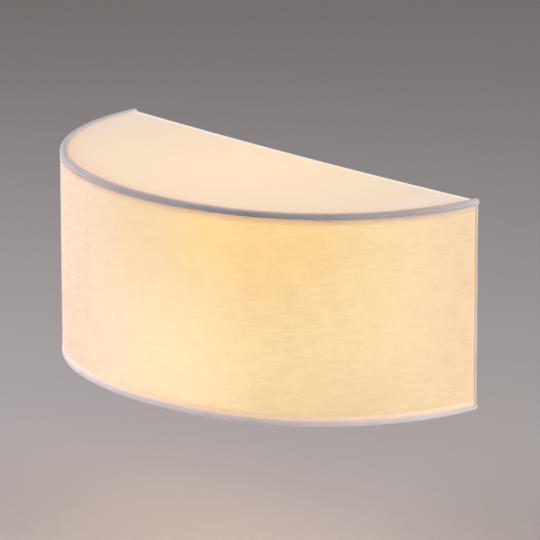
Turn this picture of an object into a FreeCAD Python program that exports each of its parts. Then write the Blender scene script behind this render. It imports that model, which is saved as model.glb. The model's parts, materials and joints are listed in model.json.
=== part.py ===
import FreeCAD, Part
import math
import os
import Sketcher
from FreeCAD import Rotation, Vector

# A half-drum fabric wall light. X runs along the wall, Z is up and the room is at -Y.
# The origin is the middle of the wall strap's two fixing slots, in the wall's plane.
# Lengths are in millimetres. Every level and place comes from the sizes in the sheet.

doc = FreeCAD.newDocument("fabric_wall_light")

# ---------------------------------------------------------------- driving sizes

SIZES = {
    # shade, outside
    "shade_width": 350.0,          # across the wall
    "shade_depth": 155.0,          # wall to the front of the curve
    "shade_height": 148.0,
    "front_rise": 4.0,             # how much further out the front is than the side arcs' radius
    "rear_gap": 0.5,               # air between the shade's back and the wall
    # shade, skins and rolled edges
    "fabric_thickness": 0.4,
    "film_thickness": 0.3,
    "roll_diameter": 5.0,          # fabric rolled round the top and bottom hoops
    "roll_proud": 0.4,             # how far the rolls stand out from the fabric
    "edge_roll_diameter": 3.6,     # fabric rolled round the corner uprights
    "wrap_slack": 0.05,            # between a wire and what is wrapped round it
    "lid_recess": 1.2,             # lid's face below the top of the roll
    "lid_setback": 2.5,            # lid's rear corners from the wall
    "lid_bow": 4.0,                # how far the lid's tension pulls its rear edge off the wall
    # shade, frame
    "hoop_wire": 3.0,
    "upright_wire": 2.4,
    "hoop_end": 1.0,               # hoop ends short of the shade's back
    "bar_setback": 5.0,            # rear bars' centre from the wall
    "stile_thickness": 1.5,
    "stile_width": 12.0,
    "stile_setback": 4.0,
    "stile_gap": 0.3,              # stile to pan, and stile to screw head
    # wall strap
    "strap_length": 170.0,
    "strap_height": 24.0,
    "strap_steel": 2.0,
    "slot_spacing": 120.0,
    "slot_width": 5.0,
    "slot_length": 14.0,
    "cable_bore": 16.0,
    "bush_wall": 2.0,
    "bush_flange": 3.0,
    "bush_flange_thickness": 1.2,
    "stud_spacing": 80.0,
    "stud_diameter": 4.0,
    "cap_nut_flats": 7.0,
    "cap_nut_hex": 3.2,
    "cap_nut_dome": 3.2,
    # pan
    "pan_width": 230.0,
    "pan_margin": 14.0,            # pan's edges inside the shade's top and bottom
    "pan_front": 18.0,             # pan's face from the wall
    "pan_steel": 1.0,
    "pan_corner": 6.0,
    "pan_edge": 2.0,               # rounding of the front edge
    "hole_ease": 0.3,              # radial room round studs and screws
    # thumb screws
    "thumb_shank": 4.0,
    "thumb_head": 12.0,
    "thumb_head_length": 6.0,
    "thumb_reach": 9.0,            # shank inside the pan
    "thumb_setback": 10.0,
    "thumb_notch": 0.8,            # grip notches round the head
    "thumb_chamfer": 1.0,
    "thread_fit": 0.05,            # radial, screw in its nut
    "rivet_nut_body": 6.0,
    "rivet_nut_length": 7.0,
    "rivet_nut_flange": 9.0,
    "rivet_nut_rim": 0.8,
    "rivet_nut_lip": 0.1,          # outside the pan
    # terminal block
    "block_width": 30.0,
    "block_height": 17.0,
    "block_depth": 12.0,
    "block_drop": 26.0,            # middle of the block below the pan's upper edge
    "pole_pitch": 9.0,
    "sleeve_diameter": 5.0,
    "sleeve_bore": 3.0,
    "clamp_screw": 2.6,
    "clamp_spread": 4.2,           # clamp screws above and below the pole's middle
    "fixing_screw": 3.0,
    "fixing_head": 5.5,
    "fixing_head_height": 1.8,
    # earth point
    "earth_x": 30.0,
    "earth_drop": 21.0,            # earth point below the middle of the block
    "earth_screw_diameter": 4.0,
    "earth_head": 8.0,
    "earth_head_height": 2.6,
    "tag_diameter": 8.0,
    "tag_thickness": 0.8,
    "tag_barrel": 3.4,
    "tag_barrel_length": 5.0,
    # leads
    "lead_diameter": 2.0,
    "lead_spread": 1.3,
    "grommet_bore": 6.0,
    "grommet_neck": 9.0,
    "grommet_flange": 12.0,
    "grommet_lip": 1.5,
    "grommet_drop": 7.6,           # grommet's middle below the bracket
    # bracket
    "bracket_steel": 2.0,
    "bracket_width": 32.0,
    "bracket_rise": 28.0,
    "bracket_rim": 6.0,
    "bracket_bend": 3.0,
    "rivet_diameter": 3.2,
    "rivet_head": 6.4,
    "rivet_dome": 1.2,
    "rivet_spacing": 18.0,
    "rivet_edge": 9.0,             # rivets below the leg's end
    # lampholder, E27
    "holder_reach": 58.0,          # lamp's axis from the wall
    "holder_lift": 6.0,            # holder's underside above the shade's lower edge
    "holder_radius": 19.6,
    "holder_wall": 2.0,
    "base_height": 26.0,
    "base_chamfer": 4.0,
    "base_flange": 23.0,
    "base_flange_thickness": 2.0,
    "lead_entry": 10.0,
    "skirt_height": 18.0,
    "skirt_bore": 28.6,
    "skirt_rim": 1.5,
    "holder_fit": 0.4,             # radial, holder in its bracket and ring
    "ring_radius": 27.0,
    "ring_height": 7.0,
    "ring_notch": 1.6,
    "insert_thickness": 5.0,
    "insert_rise": 12.0,
    "shell_radius": 13.95,
    "shell_thread": 13.4,          # root of the shell's rounded thread
    "shell_height": 21.0,
    "contact_width": 7.0,
    "contact_thickness": 0.6,
    "contact_rise": 2.6,
    "clamp_block": 7.0,
    "clamp_height": 5.0,
    "clamp_offset": 8.5,
    # lamp, E27
    "lamp_length": 104.0,
    "lamp_radius": 30.0,
    "lamp_gap": 0.3,               # lamp's tip off the holder's contact, and skirts apart
    "cap_thread": 13.1,            # crest of the cap's rounded thread
    "thread_depth": 0.9,
    "thread_pitch": 3.63,
    "cap_wall": 0.3,
    "cap_neck": 12.2,
    "cap_lead_in": 5.5,            # lamp's tip to the first thread
    "cap_height": 26.5,
    "tip_radius": 4.8,
    "tip_height": 1.6,
    "collar_radius": 14.0,
    "collar_height": 4.0,
    "dome_seam": 62.0,             # where the dome leaves the housing, from the lamp's tip
    "housing_curve": 50.0,         # radius of the housing's flare
    "dome_wall": 1.4,
    "housing_wall": 1.6,
    "board_thickness": 1.6,
}

CAP_TURNS = 5
SHELL_TURNS = 3
SKIRT_RIDGES = 3
RING_NOTCHES = 24
HEAD_NOTCHES = 20
BEND_SHARE = 0.45          # of the shorter run that a lead's bend takes up
EDGE_TOLERANCE = 0.001

# The live lead's way, the neutral lead's mirrored: across from the pole, off the block's middle,
# and down from the block's underside.
BEHIND_PAN = (
    (0.0, 0.0, 5.0),
    (0.0, 0.0, -12.0),
    (1.5, 1.0, -34.0),
    (-3.0, 0.5, -56.0),
)


class Length:
    """A number that remembers the expression it comes from, so that it can be bound."""

    def __init__(self, number, text=None):
        self.number = float(number)
        self.text = text if text else repr(float(number))

    def _join(self, other, sign, number):
        return Length(number, f"({self.text} {sign} {other.text})")

    def __add__(self, other):
        other = length(other)
        return self._join(other, "+", self.number + other.number)

    def __sub__(self, other):
        other = length(other)
        return self._join(other, "-", self.number - other.number)

    def __mul__(self, other):
        other = length(other)
        return self._join(other, "*", self.number * other.number)

    def __truediv__(self, other):
        other = length(other)
        return self._join(other, "/", self.number / other.number)

    def __radd__(self, other):
        return length(other) + self

    def __rsub__(self, other):
        return length(other) - self

    def __rmul__(self, other):
        return length(other) * self

    def __neg__(self):
        return length(0) - self


def length(value):
    """Any number as a Length."""
    return value if isinstance(value, Length) else Length(value)


def root(value):
    """Square root of a Length."""
    return Length(math.sqrt(value.number), f"sqrt({value.text})")


def fill_sheet():
    """Writes the driving sizes into the sheet and returns them as Lengths."""
    sheet = doc.addObject("Spreadsheet::Sheet", "Sizes")
    for row, (alias, value) in enumerate(SIZES.items(), start=1):
        sheet.set(f"A{row}", str(value))
        sheet.setAlias(f"A{row}", alias)
    doc.recompute()
    return {alias: Length(value, f"Sizes.{alias}") for alias, value in SIZES.items()}


size = fill_sheet()

# ---------------------------------------------------------------- ways to make a piece

TOWARDS = {
    "X": Rotation(Vector(0, 1, 0), 90),
    "-X": Rotation(Vector(0, 1, 0), -90),
    "Y": Rotation(Vector(1, 0, 0), -90),
    "-Y": Rotation(Vector(1, 0, 0), 90),
    "Z": Rotation(),
}
nodes = {}


def bind(item, place, value):
    """Ties one property of an object to the sheet."""
    item.setExpression(place, length(value).text)


def put(item, spot, axis="Z"):
    """Places an object at (x, y, z), its own Z turned along an axis."""
    item.Placement = FreeCAD.Placement(Vector(*[length(way).number for way in spot]), TOWARDS[axis])
    for name, way in zip("xyz", spot):
        bind(item, f"Placement.Base.{name}", way)
    return item


def keep(item, node):
    """Names an object as a finished piece of the light."""
    item.Label = node
    nodes[node] = item
    return item


def block(name, x, y, z):
    """A box between two places along each axis."""
    box = doc.addObject("Part::Box", name)
    for side, (low, high) in zip(("Length", "Width", "Height"), (x, y, z)):
        bind(box, side, high - low)
    return put(box, (x[0], y[0], z[0]))


def rod(name, spot, axis, reach, radius):
    """A round bar from a spot, along an axis."""
    bar = doc.addObject("Part::Cylinder", name)
    bind(bar, "Radius", radius)
    bind(bar, "Height", reach)
    return put(bar, spot, axis)


def cut(name, base, *tools):
    """The base with the tools taken out of it."""
    result = doc.addObject("Part::Cut", name)
    result.Base = base
    result.Tool = tools[0] if len(tools) == 1 else fuse(name + "_tools", *tools)
    return result


def fuse(name, *pieces):
    """Several shapes made into one."""
    result = doc.addObject("Part::MultiFuse", name)
    result.Shapes = list(pieces)
    return result


def group(name, *pieces):
    """Alike pieces that stay separate solids of one node."""
    result = doc.addObject("Part::Compound", name)
    result.Links = list(pieces)
    return result


def new_sketch(name, body=None, plane="XY_Plane"):
    """A sketch, alone or on one of a body's own planes."""
    if body is None:
        return doc.addObject("Sketcher::SketchObject", name)
    sketch = body.newObject("Sketcher::SketchObject", name)
    base = [item for item in body.Origin.OriginFeatures if item.Role == plane][0]
    sketch.AttachmentSupport = [(base, "")]
    sketch.MapMode = "FlatFace"
    return sketch


def tie(sketch, kind, name, value, *where):
    """Adds one dimension to a sketch and binds it."""
    number = sketch.addConstraint(Sketcher.Constraint(kind, *where, length(value).number))
    sketch.renameConstraint(number, name)
    bind(sketch, f"Constraints.{name}", value)


def arc_between(first, last, radius):
    """A circle's arc from first to last: counter-clockwise for a positive radius."""
    if radius < 0:
        return arc_between(last, first, -radius)
    chord = last - first
    lean = math.sqrt(max(radius ** 2 - chord.Length ** 2 / 4, 0))
    centre = (first + last) / 2 + Vector(-chord.y, chord.x, 0).normalize() * lean
    start = math.atan2(first.y - centre.y, first.x - centre.x)
    end = math.atan2(last.y - centre.y, last.x - centre.x)
    return Part.ArcOfCircle(Part.Circle(centre, Vector(0, 0, 1), radius), start, end)


def draw(sketch, corners, closed=True):
    """Runs a line through corners (x, y) or (x, y, radius of the arc that leaves the corner)."""
    spots = [Vector(length(corner[0]).number, length(corner[1]).number, 0) for corner in corners]
    count = len(corners)
    ends = []
    for index in range(count if closed else count - 1):
        here, there = spots[index], spots[(index + 1) % count]
        radius = corners[index][2] if len(corners[index]) == 3 else None
        if radius is None:
            edge = sketch.addGeometry(Part.LineSegment(here, there))
            ends.append((edge, 1, 2))
            continue
        edge = sketch.addGeometry(arc_between(here, there, radius.number))
        clockwise = radius.number < 0
        ends.append((edge, 2, 1) if clockwise else (edge, 1, 2))
        tie(sketch, "Radius", f"radius{index}", -radius if clockwise else radius, edge)
    for index in range(len(ends) if closed else len(ends) - 1):
        edge, _, last = ends[index]
        following, first, _ = ends[(index + 1) % len(ends)]
        sketch.addConstraint(Sketcher.Constraint("Coincident", edge, last, following, first))
    for index, corner in enumerate(corners):
        edge, first, last = ends[min(index, len(ends) - 1)]
        end = first if index < len(ends) else last
        tie(sketch, "DistanceX", f"across{index}", corner[0], -1, 1, edge, end)
        tie(sketch, "DistanceY", f"along{index}", corner[1], -1, 1, edge, end)
    return sketch


def raised(name, corners, bottom, top):
    """A plan outline raised from one level to another."""
    body = doc.addObject("PartDesign::Body", name)
    sketch = draw(new_sketch(name + "_plan", body), corners)
    pad = body.newObject("PartDesign::Pad", name + "_pad")
    pad.Profile = sketch
    bind(pad, "Length", top - bottom)
    return put(body, (0, 0, bottom))


def turned(name, corners, spot, axis="Z"):
    """A profile of (radius, height) corners turned round an axis through a spot."""
    body = doc.addObject("PartDesign::Body", name)
    sketch = draw(new_sketch(name + "_profile", body, "XZ_Plane"), corners)
    turn = body.newObject("PartDesign::Revolution", name + "_turn")
    turn.Profile = sketch
    turn.ReferenceAxis = (sketch, ["V_Axis"])
    turn.Angle = 360
    return put(body, spot, axis)


def swept(name, corners, level, radius, axis):
    """A round wire that follows an open line of corners in plan, at one level."""
    path = draw(new_sketch(name + "_path"), corners, closed=False)
    put(path, (0, 0, level))
    section = doc.addObject("Part::Circle", name + "_section")
    bind(section, "Radius", radius)
    put(section, (corners[0][0], corners[0][1], level), axis)
    wire = doc.addObject("Part::Sweep", name)
    wire.Sections = [section]
    wire.Spine = (path, [f"Edge{number}" for number in range(1, len(corners))])
    wire.Solid = True
    return wire


def notched(body, name, radius, notch, count, height):
    """Grips round the rim of a turned body: small round grooves along its own axis."""
    sketch = new_sketch(name + "_notch", body)
    groove = sketch.addGeometry(Part.Circle(Vector(radius.number, 0, 0), Vector(0, 0, 1), 1.0))
    tie(sketch, "Radius", "notch", notch, groove)
    tie(sketch, "DistanceX", "rim", radius, -1, 1, groove, 3)
    sketch.addConstraint(Sketcher.Constraint("PointOnObject", groove, 3, -1))
    pocket = body.newObject("PartDesign::Pocket", name + "_groove")
    pocket.Profile = sketch
    pocket.Reversed = True
    bind(pocket, "Length", height)
    ring = body.newObject("PartDesign::PolarPattern", name + "_grooves")
    ring.Originals = [pocket]
    ring.Axis = (sketch, ["N_Axis"])
    ring.Angle = 360
    ring.Occurrences = count
    body.Tip = ring
    return body


# ---------------------------------------------------------------- places worked out from the sizes

half_width = size["shade_width"] / 2
half_height = size["shade_height"] / 2
side_radius = size["shade_depth"] - size["front_rise"]
side_centre = half_width - side_radius
front_centre = (side_centre * side_centre - size["front_rise"] * size["front_rise"]) \
    / (2 * size["front_rise"])
front_radius = size["shade_depth"] + front_centre
skin = size["fabric_thickness"] + size["film_thickness"]
hoop_radius = size["hoop_wire"] / 2
roll_radius = size["roll_diameter"] / 2
hoop_inset = roll_radius - size["roll_proud"]
hoop_level = half_height - roll_radius
edge_roll_radius = size["edge_roll_diameter"] / 2
edge_inset = edge_roll_radius - size["roll_proud"]
edge_depth = size["rear_gap"] + edge_roll_radius
hoop_end = size["rear_gap"] + size["hoop_end"]
lid_face = half_height - size["lid_recess"]
lid_underside = lid_face - skin
top_bar_level = lid_underside - hoop_radius - size["wrap_slack"]
pan_half_width = size["pan_width"] / 2
pan_half_height = half_height - size["pan_margin"]
pan_inside = size["pan_front"] - size["pan_steel"]
block_level = pan_half_height - size["block_drop"]
earth_level = block_level - size["earth_drop"]
lamp_y = -size["holder_reach"]
holder_bottom = size["holder_lift"] - half_height
plate_bottom = holder_bottom + size["base_height"]
plate_top = plate_bottom + size["bracket_steel"]
grommet_level = plate_bottom - size["grommet_drop"]
rivet_level = plate_bottom + size["bracket_rise"] - size["rivet_edge"]
door_level = holder_bottom + size["insert_rise"] - size["clamp_height"] / 2
insert_top = holder_bottom + size["insert_rise"] + size["insert_thickness"]
contact_top = insert_top + size["contact_rise"]
lamp_tip = contact_top + size["lamp_gap"]


def plan(inset, rear):
    """Right half to left half of the shade's curve, a distance inside its outer face."""
    side = side_radius - inset
    front = front_radius - inset
    share = front / (front_radius - side_radius)
    rear_x = half_span(inset, rear)
    joint_x = side_centre * share
    joint_y = front_centre - front_centre * share
    return [
        (rear_x, -rear, -side),
        (joint_x, joint_y, -front),
        (-joint_x, joint_y, -side),
        (-rear_x, -rear),
    ]


def half_span(inset, rear):
    """Half the width of the shade's curve, a distance inside its face and off the wall."""
    side = side_radius - inset
    return side_centre + root(side * side - rear * rear)


def band(inner_inset, outer_inset, rear):
    """The plan of a skin that follows the curve, open at the wall."""
    outside = plan(outer_inset, rear)
    inside = plan(inner_inset, rear)
    back = [(inside[3][0], inside[3][1], -inside[2][2])]
    back += [(inside[2][0], inside[2][1], -inside[1][2]), (inside[1][0], inside[1][1], -inside[0][2])]
    return outside + back + [inside[0][:2]]


def bow_radius(half_chord):
    """Radius of the arc that the lid's tension pulls a rear edge into."""
    bow = size["lid_bow"]
    return (half_chord * half_chord + bow * bow) / (2 * bow)


bar_half = half_span(hoop_inset + hoop_radius, size["bar_setback"] + hoop_radius)


# ---------------------------------------------------------------- shade

def shade_skins():
    """The woven skin of the curve and the film it is laminated to."""
    reach = hoop_level - root(roll_radius * roll_radius - (hoop_inset - skin) * (hoop_inset - skin))
    rear = edge_depth + root(edge_roll_radius * edge_roll_radius
                             - (edge_inset - skin) * (edge_inset - skin)) + 2 * size["wrap_slack"]
    fabric = size["fabric_thickness"]
    keep(raised("fabric_skin", band(fabric, length(0), rear), -reach, reach), "shade_fabric")
    keep(raised("film_skin", band(skin, fabric, rear), -reach, reach), "shade_film")


def shade_lid():
    """The flat lid: woven fabric on film, drawn off the wall at its middle."""
    drop = lid_underside - hoop_level
    inset = hoop_inset + root(roll_radius * roll_radius - drop * drop) + size["wrap_slack"]
    corners = plan(inset, size["lid_setback"])
    corners[3] = (corners[3][0], corners[3][1], bow_radius(corners[0][0]))
    between = lid_face - size["fabric_thickness"]
    keep(raised("lid_skin", corners, between, lid_face), "lid_fabric")
    keep(raised("lid_backing", corners, lid_underside, between), "lid_film")


def shade_frame():
    """Hoops, rear bars, corner uprights and the stiles that carry the shade."""
    path = plan(hoop_inset, hoop_end)
    bar_path = [(-bar_half, -size["bar_setback"], bow_radius(bar_half)),
                (bar_half, -size["bar_setback"])]
    keep(swept("hoop_above", path, hoop_level, hoop_radius, "Y"), "top_hoop")
    keep(swept("hoop_below", path, -hoop_level, hoop_radius, "Y"), "bottom_hoop")
    keep(swept("bar_above", bar_path, top_bar_level, hoop_radius, "X"), "top_bar")
    spot = (-bar_half, -size["bar_setback"], -hoop_level)
    keep(rod("bar_below", spot, "X", 2 * bar_half, hoop_radius), "bottom_bar")
    reach = hoop_level - hoop_radius
    for side, sign in (("left", -1), ("right", 1)):
        spot = (sign * (half_width - edge_inset), -edge_depth, -reach)
        keep(rod("corner_" + side, spot, "Z", 2 * reach, size["upright_wire"] / 2), "upright_" + side)
        keep(stile(side, sign), "stile_" + side)


def stile(side, sign):
    """A flat strip between the rear bars, its slot open to the wall so that it pulls off its screw."""
    z = (hoop_radius - hoop_level, top_bar_level - hoop_radius)
    near = pan_half_width + size["stile_gap"]
    far = near + size["stile_thickness"]
    x = (near, far) if sign > 0 else (-far, -near)
    rear = -size["stile_setback"]
    strip = block("strip_" + side, x, (rear - size["stile_width"], rear), z)
    half_slot = size["thumb_shank"] / 2 + size["hole_ease"]
    throat = block("throat_" + side, x, (-size["thumb_setback"], rear), (-half_slot, half_slot))
    seat = rod("seat_" + side, (x[0], -size["thumb_setback"], 0), "X", x[1] - x[0], half_slot)
    return cut("slotted_" + side, strip, throat, seat)


def rolled_edges():
    """Fabric rolled round the hoops and the corner uprights."""
    wrap = hoop_radius + size["wrap_slack"]
    bar_wrap = wrap + size["wrap_slack"]
    upright_wrap = size["upright_wire"] / 2 + size["wrap_slack"]
    levels = (("top", hoop_level, top_bar_level), ("bottom", -hoop_level, -hoop_level))
    for name, level, bar_level in levels:
        roll = swept("roll_" + name, plan(hoop_inset, size["rear_gap"]), level, roll_radius, "Y")
        core = swept("core_" + name, plan(hoop_inset, hoop_end), level, wrap, "Y")
        tools = [core]
        for side, sign in (("left", -1), ("right", 1)):
            across = sign * (half_width - edge_inset)
            reach = roll_radius + size["wrap_slack"]
            start = level - reach if name == "top" else level
            spot = (across, -edge_depth, start)
            tools.append(rod(f"core_{name}_{side}", spot, "Z", reach, upright_wrap))
            start = bar_half - roll_radius if sign > 0 else -bar_half - hoop_radius
            spot = (start, -size["bar_setback"], bar_level)
            tools.append(rod(f"bar_core_{name}_{side}", spot, "X", roll_radius + hoop_radius, bar_wrap))
        keep(cut(name + "_rolled", roll, *tools), name + "_trim")
    reach = hoop_level - roll_radius
    for side, sign in (("left", -1), ("right", 1)):
        spot = (sign * (half_width - edge_inset), -edge_depth, -reach)
        roll = rod("edge_roll_" + side, spot, "Z", 2 * reach, edge_roll_radius)
        core = rod("edge_core_" + side, spot, "Z", 2 * reach, upright_wrap)
        keep(cut("edge_rolled_" + side, roll, core), "edge_trim_" + side)


# ---------------------------------------------------------------- wall strap and pan

def strap():
    """The crossbar that is screwed to the wall, with its bush, studs and the pan's nuts."""
    steel = size["strap_steel"]
    half = size["strap_length"] / 2
    bar = block("strap_bar", (-half, half), (-steel, length(0)),
                (-size["strap_height"] / 2, size["strap_height"] / 2))
    bush_radius = size["cable_bore"] / 2 + size["bush_wall"]
    holes = [rod("bush_hole", (0, -steel, 0), "Y", steel, bush_radius)]
    half_slot = size["slot_width"] / 2
    straight = size["slot_length"] / 2 - half_slot
    for side, sign in (("left", -1), ("right", 1)):
        middle = sign * size["slot_spacing"] / 2
        holes.append(block("slot_" + side, (middle - straight, middle + straight),
                           (-steel, length(0)), (-half_slot, half_slot)))
        for end, way in (("near", -1), ("far", 1)):
            spot = (middle + way * straight, -steel, 0)
            holes.append(rod(f"slot_{side}_{end}", spot, "Y", steel, half_slot))
    keep(cut("slotted_strap", bar, *holes), "wall_strap")

    flange = size["bush_flange_thickness"]
    bore = size["cable_bore"] / 2
    keep(turned("bush", [
        (bore, length(0)),
        (bush_radius, length(0)),
        (bush_radius, steel),
        (bush_radius + size["bush_flange"], steel),
        (bush_radius + size["bush_flange"], steel + flange),
        (bore, steel + flange),
    ], (0, 0, 0), "-Y"), "cable_bush")

    nut_end = size["cap_nut_hex"] + size["cap_nut_dome"] / 2
    studs, nuts = [], []
    for side, sign in (("left", -1), ("right", 1)):
        across = sign * size["stud_spacing"] / 2
        studs.append(rod("stud_" + side, (across, -steel, 0), "-Y",
                         size["pan_front"] + nut_end - steel, size["stud_diameter"] / 2))
        nuts.append(cap_nut(side, across, nut_end))
    keep(group("studs", *studs), "strap_studs")
    keep(group("domed_nuts", *nuts), "cap_nuts")


def hexagon(flats):
    """Corners of a hexagon round the origin, from its width across flats."""
    side = flats / math.sqrt(3)
    half = flats / 2
    return [(half, -side / 2), (half, side / 2), (length(0), side),
            (-half, side / 2), (-half, -side / 2), (length(0), -side)]


def cap_nut(side, across, nut_end):
    """A domed nut on a stud, against the pan's face."""
    spot = (across, -size["pan_front"], 0)
    nut = put(raised("hex_" + side, hexagon(size["cap_nut_flats"]), length(0), size["cap_nut_hex"]),
              spot, "-Y")
    dome_radius = size["cap_nut_dome"]
    crown = turned("crown_" + side, [
        (length(0), size["cap_nut_hex"]),
        (dome_radius, size["cap_nut_hex"], dome_radius),
        (length(0), size["cap_nut_hex"] + dome_radius),
    ], spot, "-Y")
    bore = rod("nut_bore_" + side, spot, "-Y", nut_end + size["wrap_slack"],
               size["stud_diameter"] / 2 + size["wrap_slack"])
    return cut("nut_" + side, fuse("nut_solid_" + side, nut, crown), bore)


def pan():
    """The pressed pan that hides the wiring and carries the lampholder and the shade."""
    body = doc.addObject("PartDesign::Body", "pan_pressing")
    sketch = new_sketch("pan_outline", body, "XZ_Plane")
    across, up, bend = pan_half_width, pan_half_height, size["pan_corner"]
    draw(sketch, rounded(across, up, bend))
    pad = body.newObject("PartDesign::Pad", "pan_pad")
    pad.Profile = sketch
    bind(pad, "Length", size["pan_front"] - size["rear_gap"])
    steel = size["pan_steel"]
    inside = new_sketch("pan_inside", body, "XZ_Plane")
    draw(inside, rounded(across - steel, up - steel, bend - steel))
    pocket = body.newObject("PartDesign::Pocket", "pan_hollow")
    pocket.Profile = inside
    pocket.Reversed = True
    bind(pocket, "Length", pan_inside - size["rear_gap"])
    doc.recompute()
    edges = [f"Edge{number}" for number, edge in enumerate(pocket.Shape.Edges, start=1)
             if edge.BoundBox.YMax < pad.Shape.BoundBox.YMin + EDGE_TOLERANCE]
    rounding = body.newObject("PartDesign::Fillet", "pan_rounding")
    rounding.Base = (pocket, edges)
    bind(rounding, "Radius", size["pan_edge"])
    put(body, (0, -size["rear_gap"], 0))

    face = -size["pan_front"]
    ease = size["hole_ease"]
    holes = []

    def hole(name, across, level, radius):
        holes.append(rod(name, (across, face, level), "Y", steel, radius))

    for side, sign in (("left", -1), ("right", 1)):
        hole("stud_hole_" + side, sign * size["stud_spacing"] / 2, 0, size["stud_diameter"] / 2 + ease)
        hole("rivet_hole_" + side, sign * size["rivet_spacing"] / 2, rivet_level,
             size["rivet_diameter"] / 2 + size["wrap_slack"])
        start = pan_half_width - steel if sign > 0 else -pan_half_width
        holes.append(rod("nut_hole_" + side, (start, -size["thumb_setback"], 0), "X", steel,
                         size["rivet_nut_body"] / 2 + size["wrap_slack"]))
    hole("lead_hole", 0, grommet_level, size["grommet_neck"] / 2)
    hole("fixing_hole", size["pole_pitch"] / 2, block_level, size["fixing_screw"] / 2)
    hole("earth_hole", size["earth_x"], earth_level, size["earth_screw_diameter"] / 2)
    keep(cut("drilled_pan", body, *holes), "back_pan")


def rounded(across, up, bend):
    """A rectangle round the origin with quarter-round corners."""
    return [(across, bend - up), (across, up - bend, bend),
            (across - bend, up), (bend - across, up, bend),
            (-across, up - bend), (-across, bend - up, bend),
            (bend - across, -up), (across - bend, -up, bend)]


def thumb_screws():
    """Knurled screws through the stiles into threaded inserts in the pan's sides."""
    shank = size["thumb_shank"] / 2
    head_start = pan_half_width + 2 * size["stile_gap"] + size["stile_thickness"]
    head_end = head_start + size["thumb_head_length"]
    tail = pan_half_width - size["thumb_reach"]
    head = size["thumb_head"] / 2
    inserts = []
    for side, sign, axis in (("left", -1, "-X"), ("right", 1, "X")):
        spot = (0, -size["thumb_setback"], 0)
        body = turned("knurled_" + side, [
            (length(0), tail), (shank, tail), (shank, head_start), (head, head_start),
            (head, head_end - size["thumb_chamfer"]), (head - size["thumb_chamfer"], head_end),
            (length(0), head_end),
        ], spot, axis)
        notched(body, "knurled_" + side, head, size["thumb_notch"] / 2, HEAD_NOTCHES, head_end)
        keep(body, "thumb_screw_" + side)
        bore = shank + size["thread_fit"]
        outside = pan_half_width + size["rivet_nut_lip"]
        rim = size["rivet_nut_flange"] / 2
        barrel = size["rivet_nut_body"] / 2
        inner = pan_half_width - size["pan_steel"]
        inserts.append(turned("insert_" + side, [
            (bore, outside), (bore, inner - size["rivet_nut_length"]),
            (barrel, inner - size["rivet_nut_length"]), (barrel, inner - size["rivet_nut_rim"] * 2),
            (rim, inner - size["rivet_nut_rim"]), (rim, inner), (barrel, inner),
            (barrel, outside),
        ], spot, axis))
    keep(group("inserts", *inserts), "rivet_nuts")


# ---------------------------------------------------------------- terminals, earth and leads

def terminals():
    """A three-pole terminal block on the pan's inner face."""
    level = block_level
    low, high = level - size["block_height"] / 2, level + size["block_height"] / 2
    back = size["block_depth"] - pan_inside
    middle = -pan_inside + size["block_depth"] / 2
    body = block("block_body", (-size["block_width"] / 2, size["block_width"] / 2),
                 (-pan_inside, back), (low, high))
    cuts, sleeves, screws = [], [], []
    sleeve = size["sleeve_diameter"] / 2
    for pole in (-1, 0, 1):
        tag = ("left", "middle", "right")[pole + 1]
        across = pole * size["pole_pitch"]
        spot = (across, middle, low)
        cuts.append(rod("way_" + tag, spot, "Z", size["block_height"], sleeve))
        tube = rod("tube_" + tag, (across, middle, low + size["pan_steel"]), "Z",
                   size["block_height"] - 2 * size["pan_steel"], sleeve)
        inner = rod("tube_bore_" + tag, spot, "Z", size["block_height"], size["sleeve_bore"] / 2)
        taps = []
        for end, way in (("below", -1), ("above", 1)):
            up = level + way * size["clamp_spread"]
            screw = size["clamp_screw"] / 2
            start = middle + size["lead_diameter"] / 2 + size["wrap_slack"]
            shaft = back - start - size["pan_steel"]
            screws.append(rod(f"clamp_{tag}_{end}", (across, start, up), "Y", shaft, screw))
            taps.append(rod(f"tap_{tag}_{end}", (across, middle, up), "Y", sleeve, screw))
            cuts.append(rod(f"shaft_{tag}_{end}", (across, middle, up), "Y", back - middle, screw))
        sleeves.append(cut("sleeve_" + tag, tube, inner, *taps))
    fixing = size["pole_pitch"] / 2
    screw = size["fixing_screw"] / 2
    cuts.append(rod("fixing_way", (fixing, -pan_inside, level), "Y", size["block_depth"], screw))
    keep(cut("bored_block", body, *cuts), "terminal_block")
    keep(group("sleeves", *sleeves), "terminal_sleeves")
    keep(group("clamps", *screws), "terminal_clamp_screws")
    shank = rod("fixing_shank", (fixing, -size["pan_front"] - size["pan_steel"], level), "Y",
                back + size["pan_front"] + size["pan_steel"], screw)
    head = rod("fixing_top", (fixing, back, level), "Y", size["fixing_head_height"],
               size["fixing_head"] / 2)
    keep(fuse("fixing", shank, head), "terminal_fixing_screw")


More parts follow.
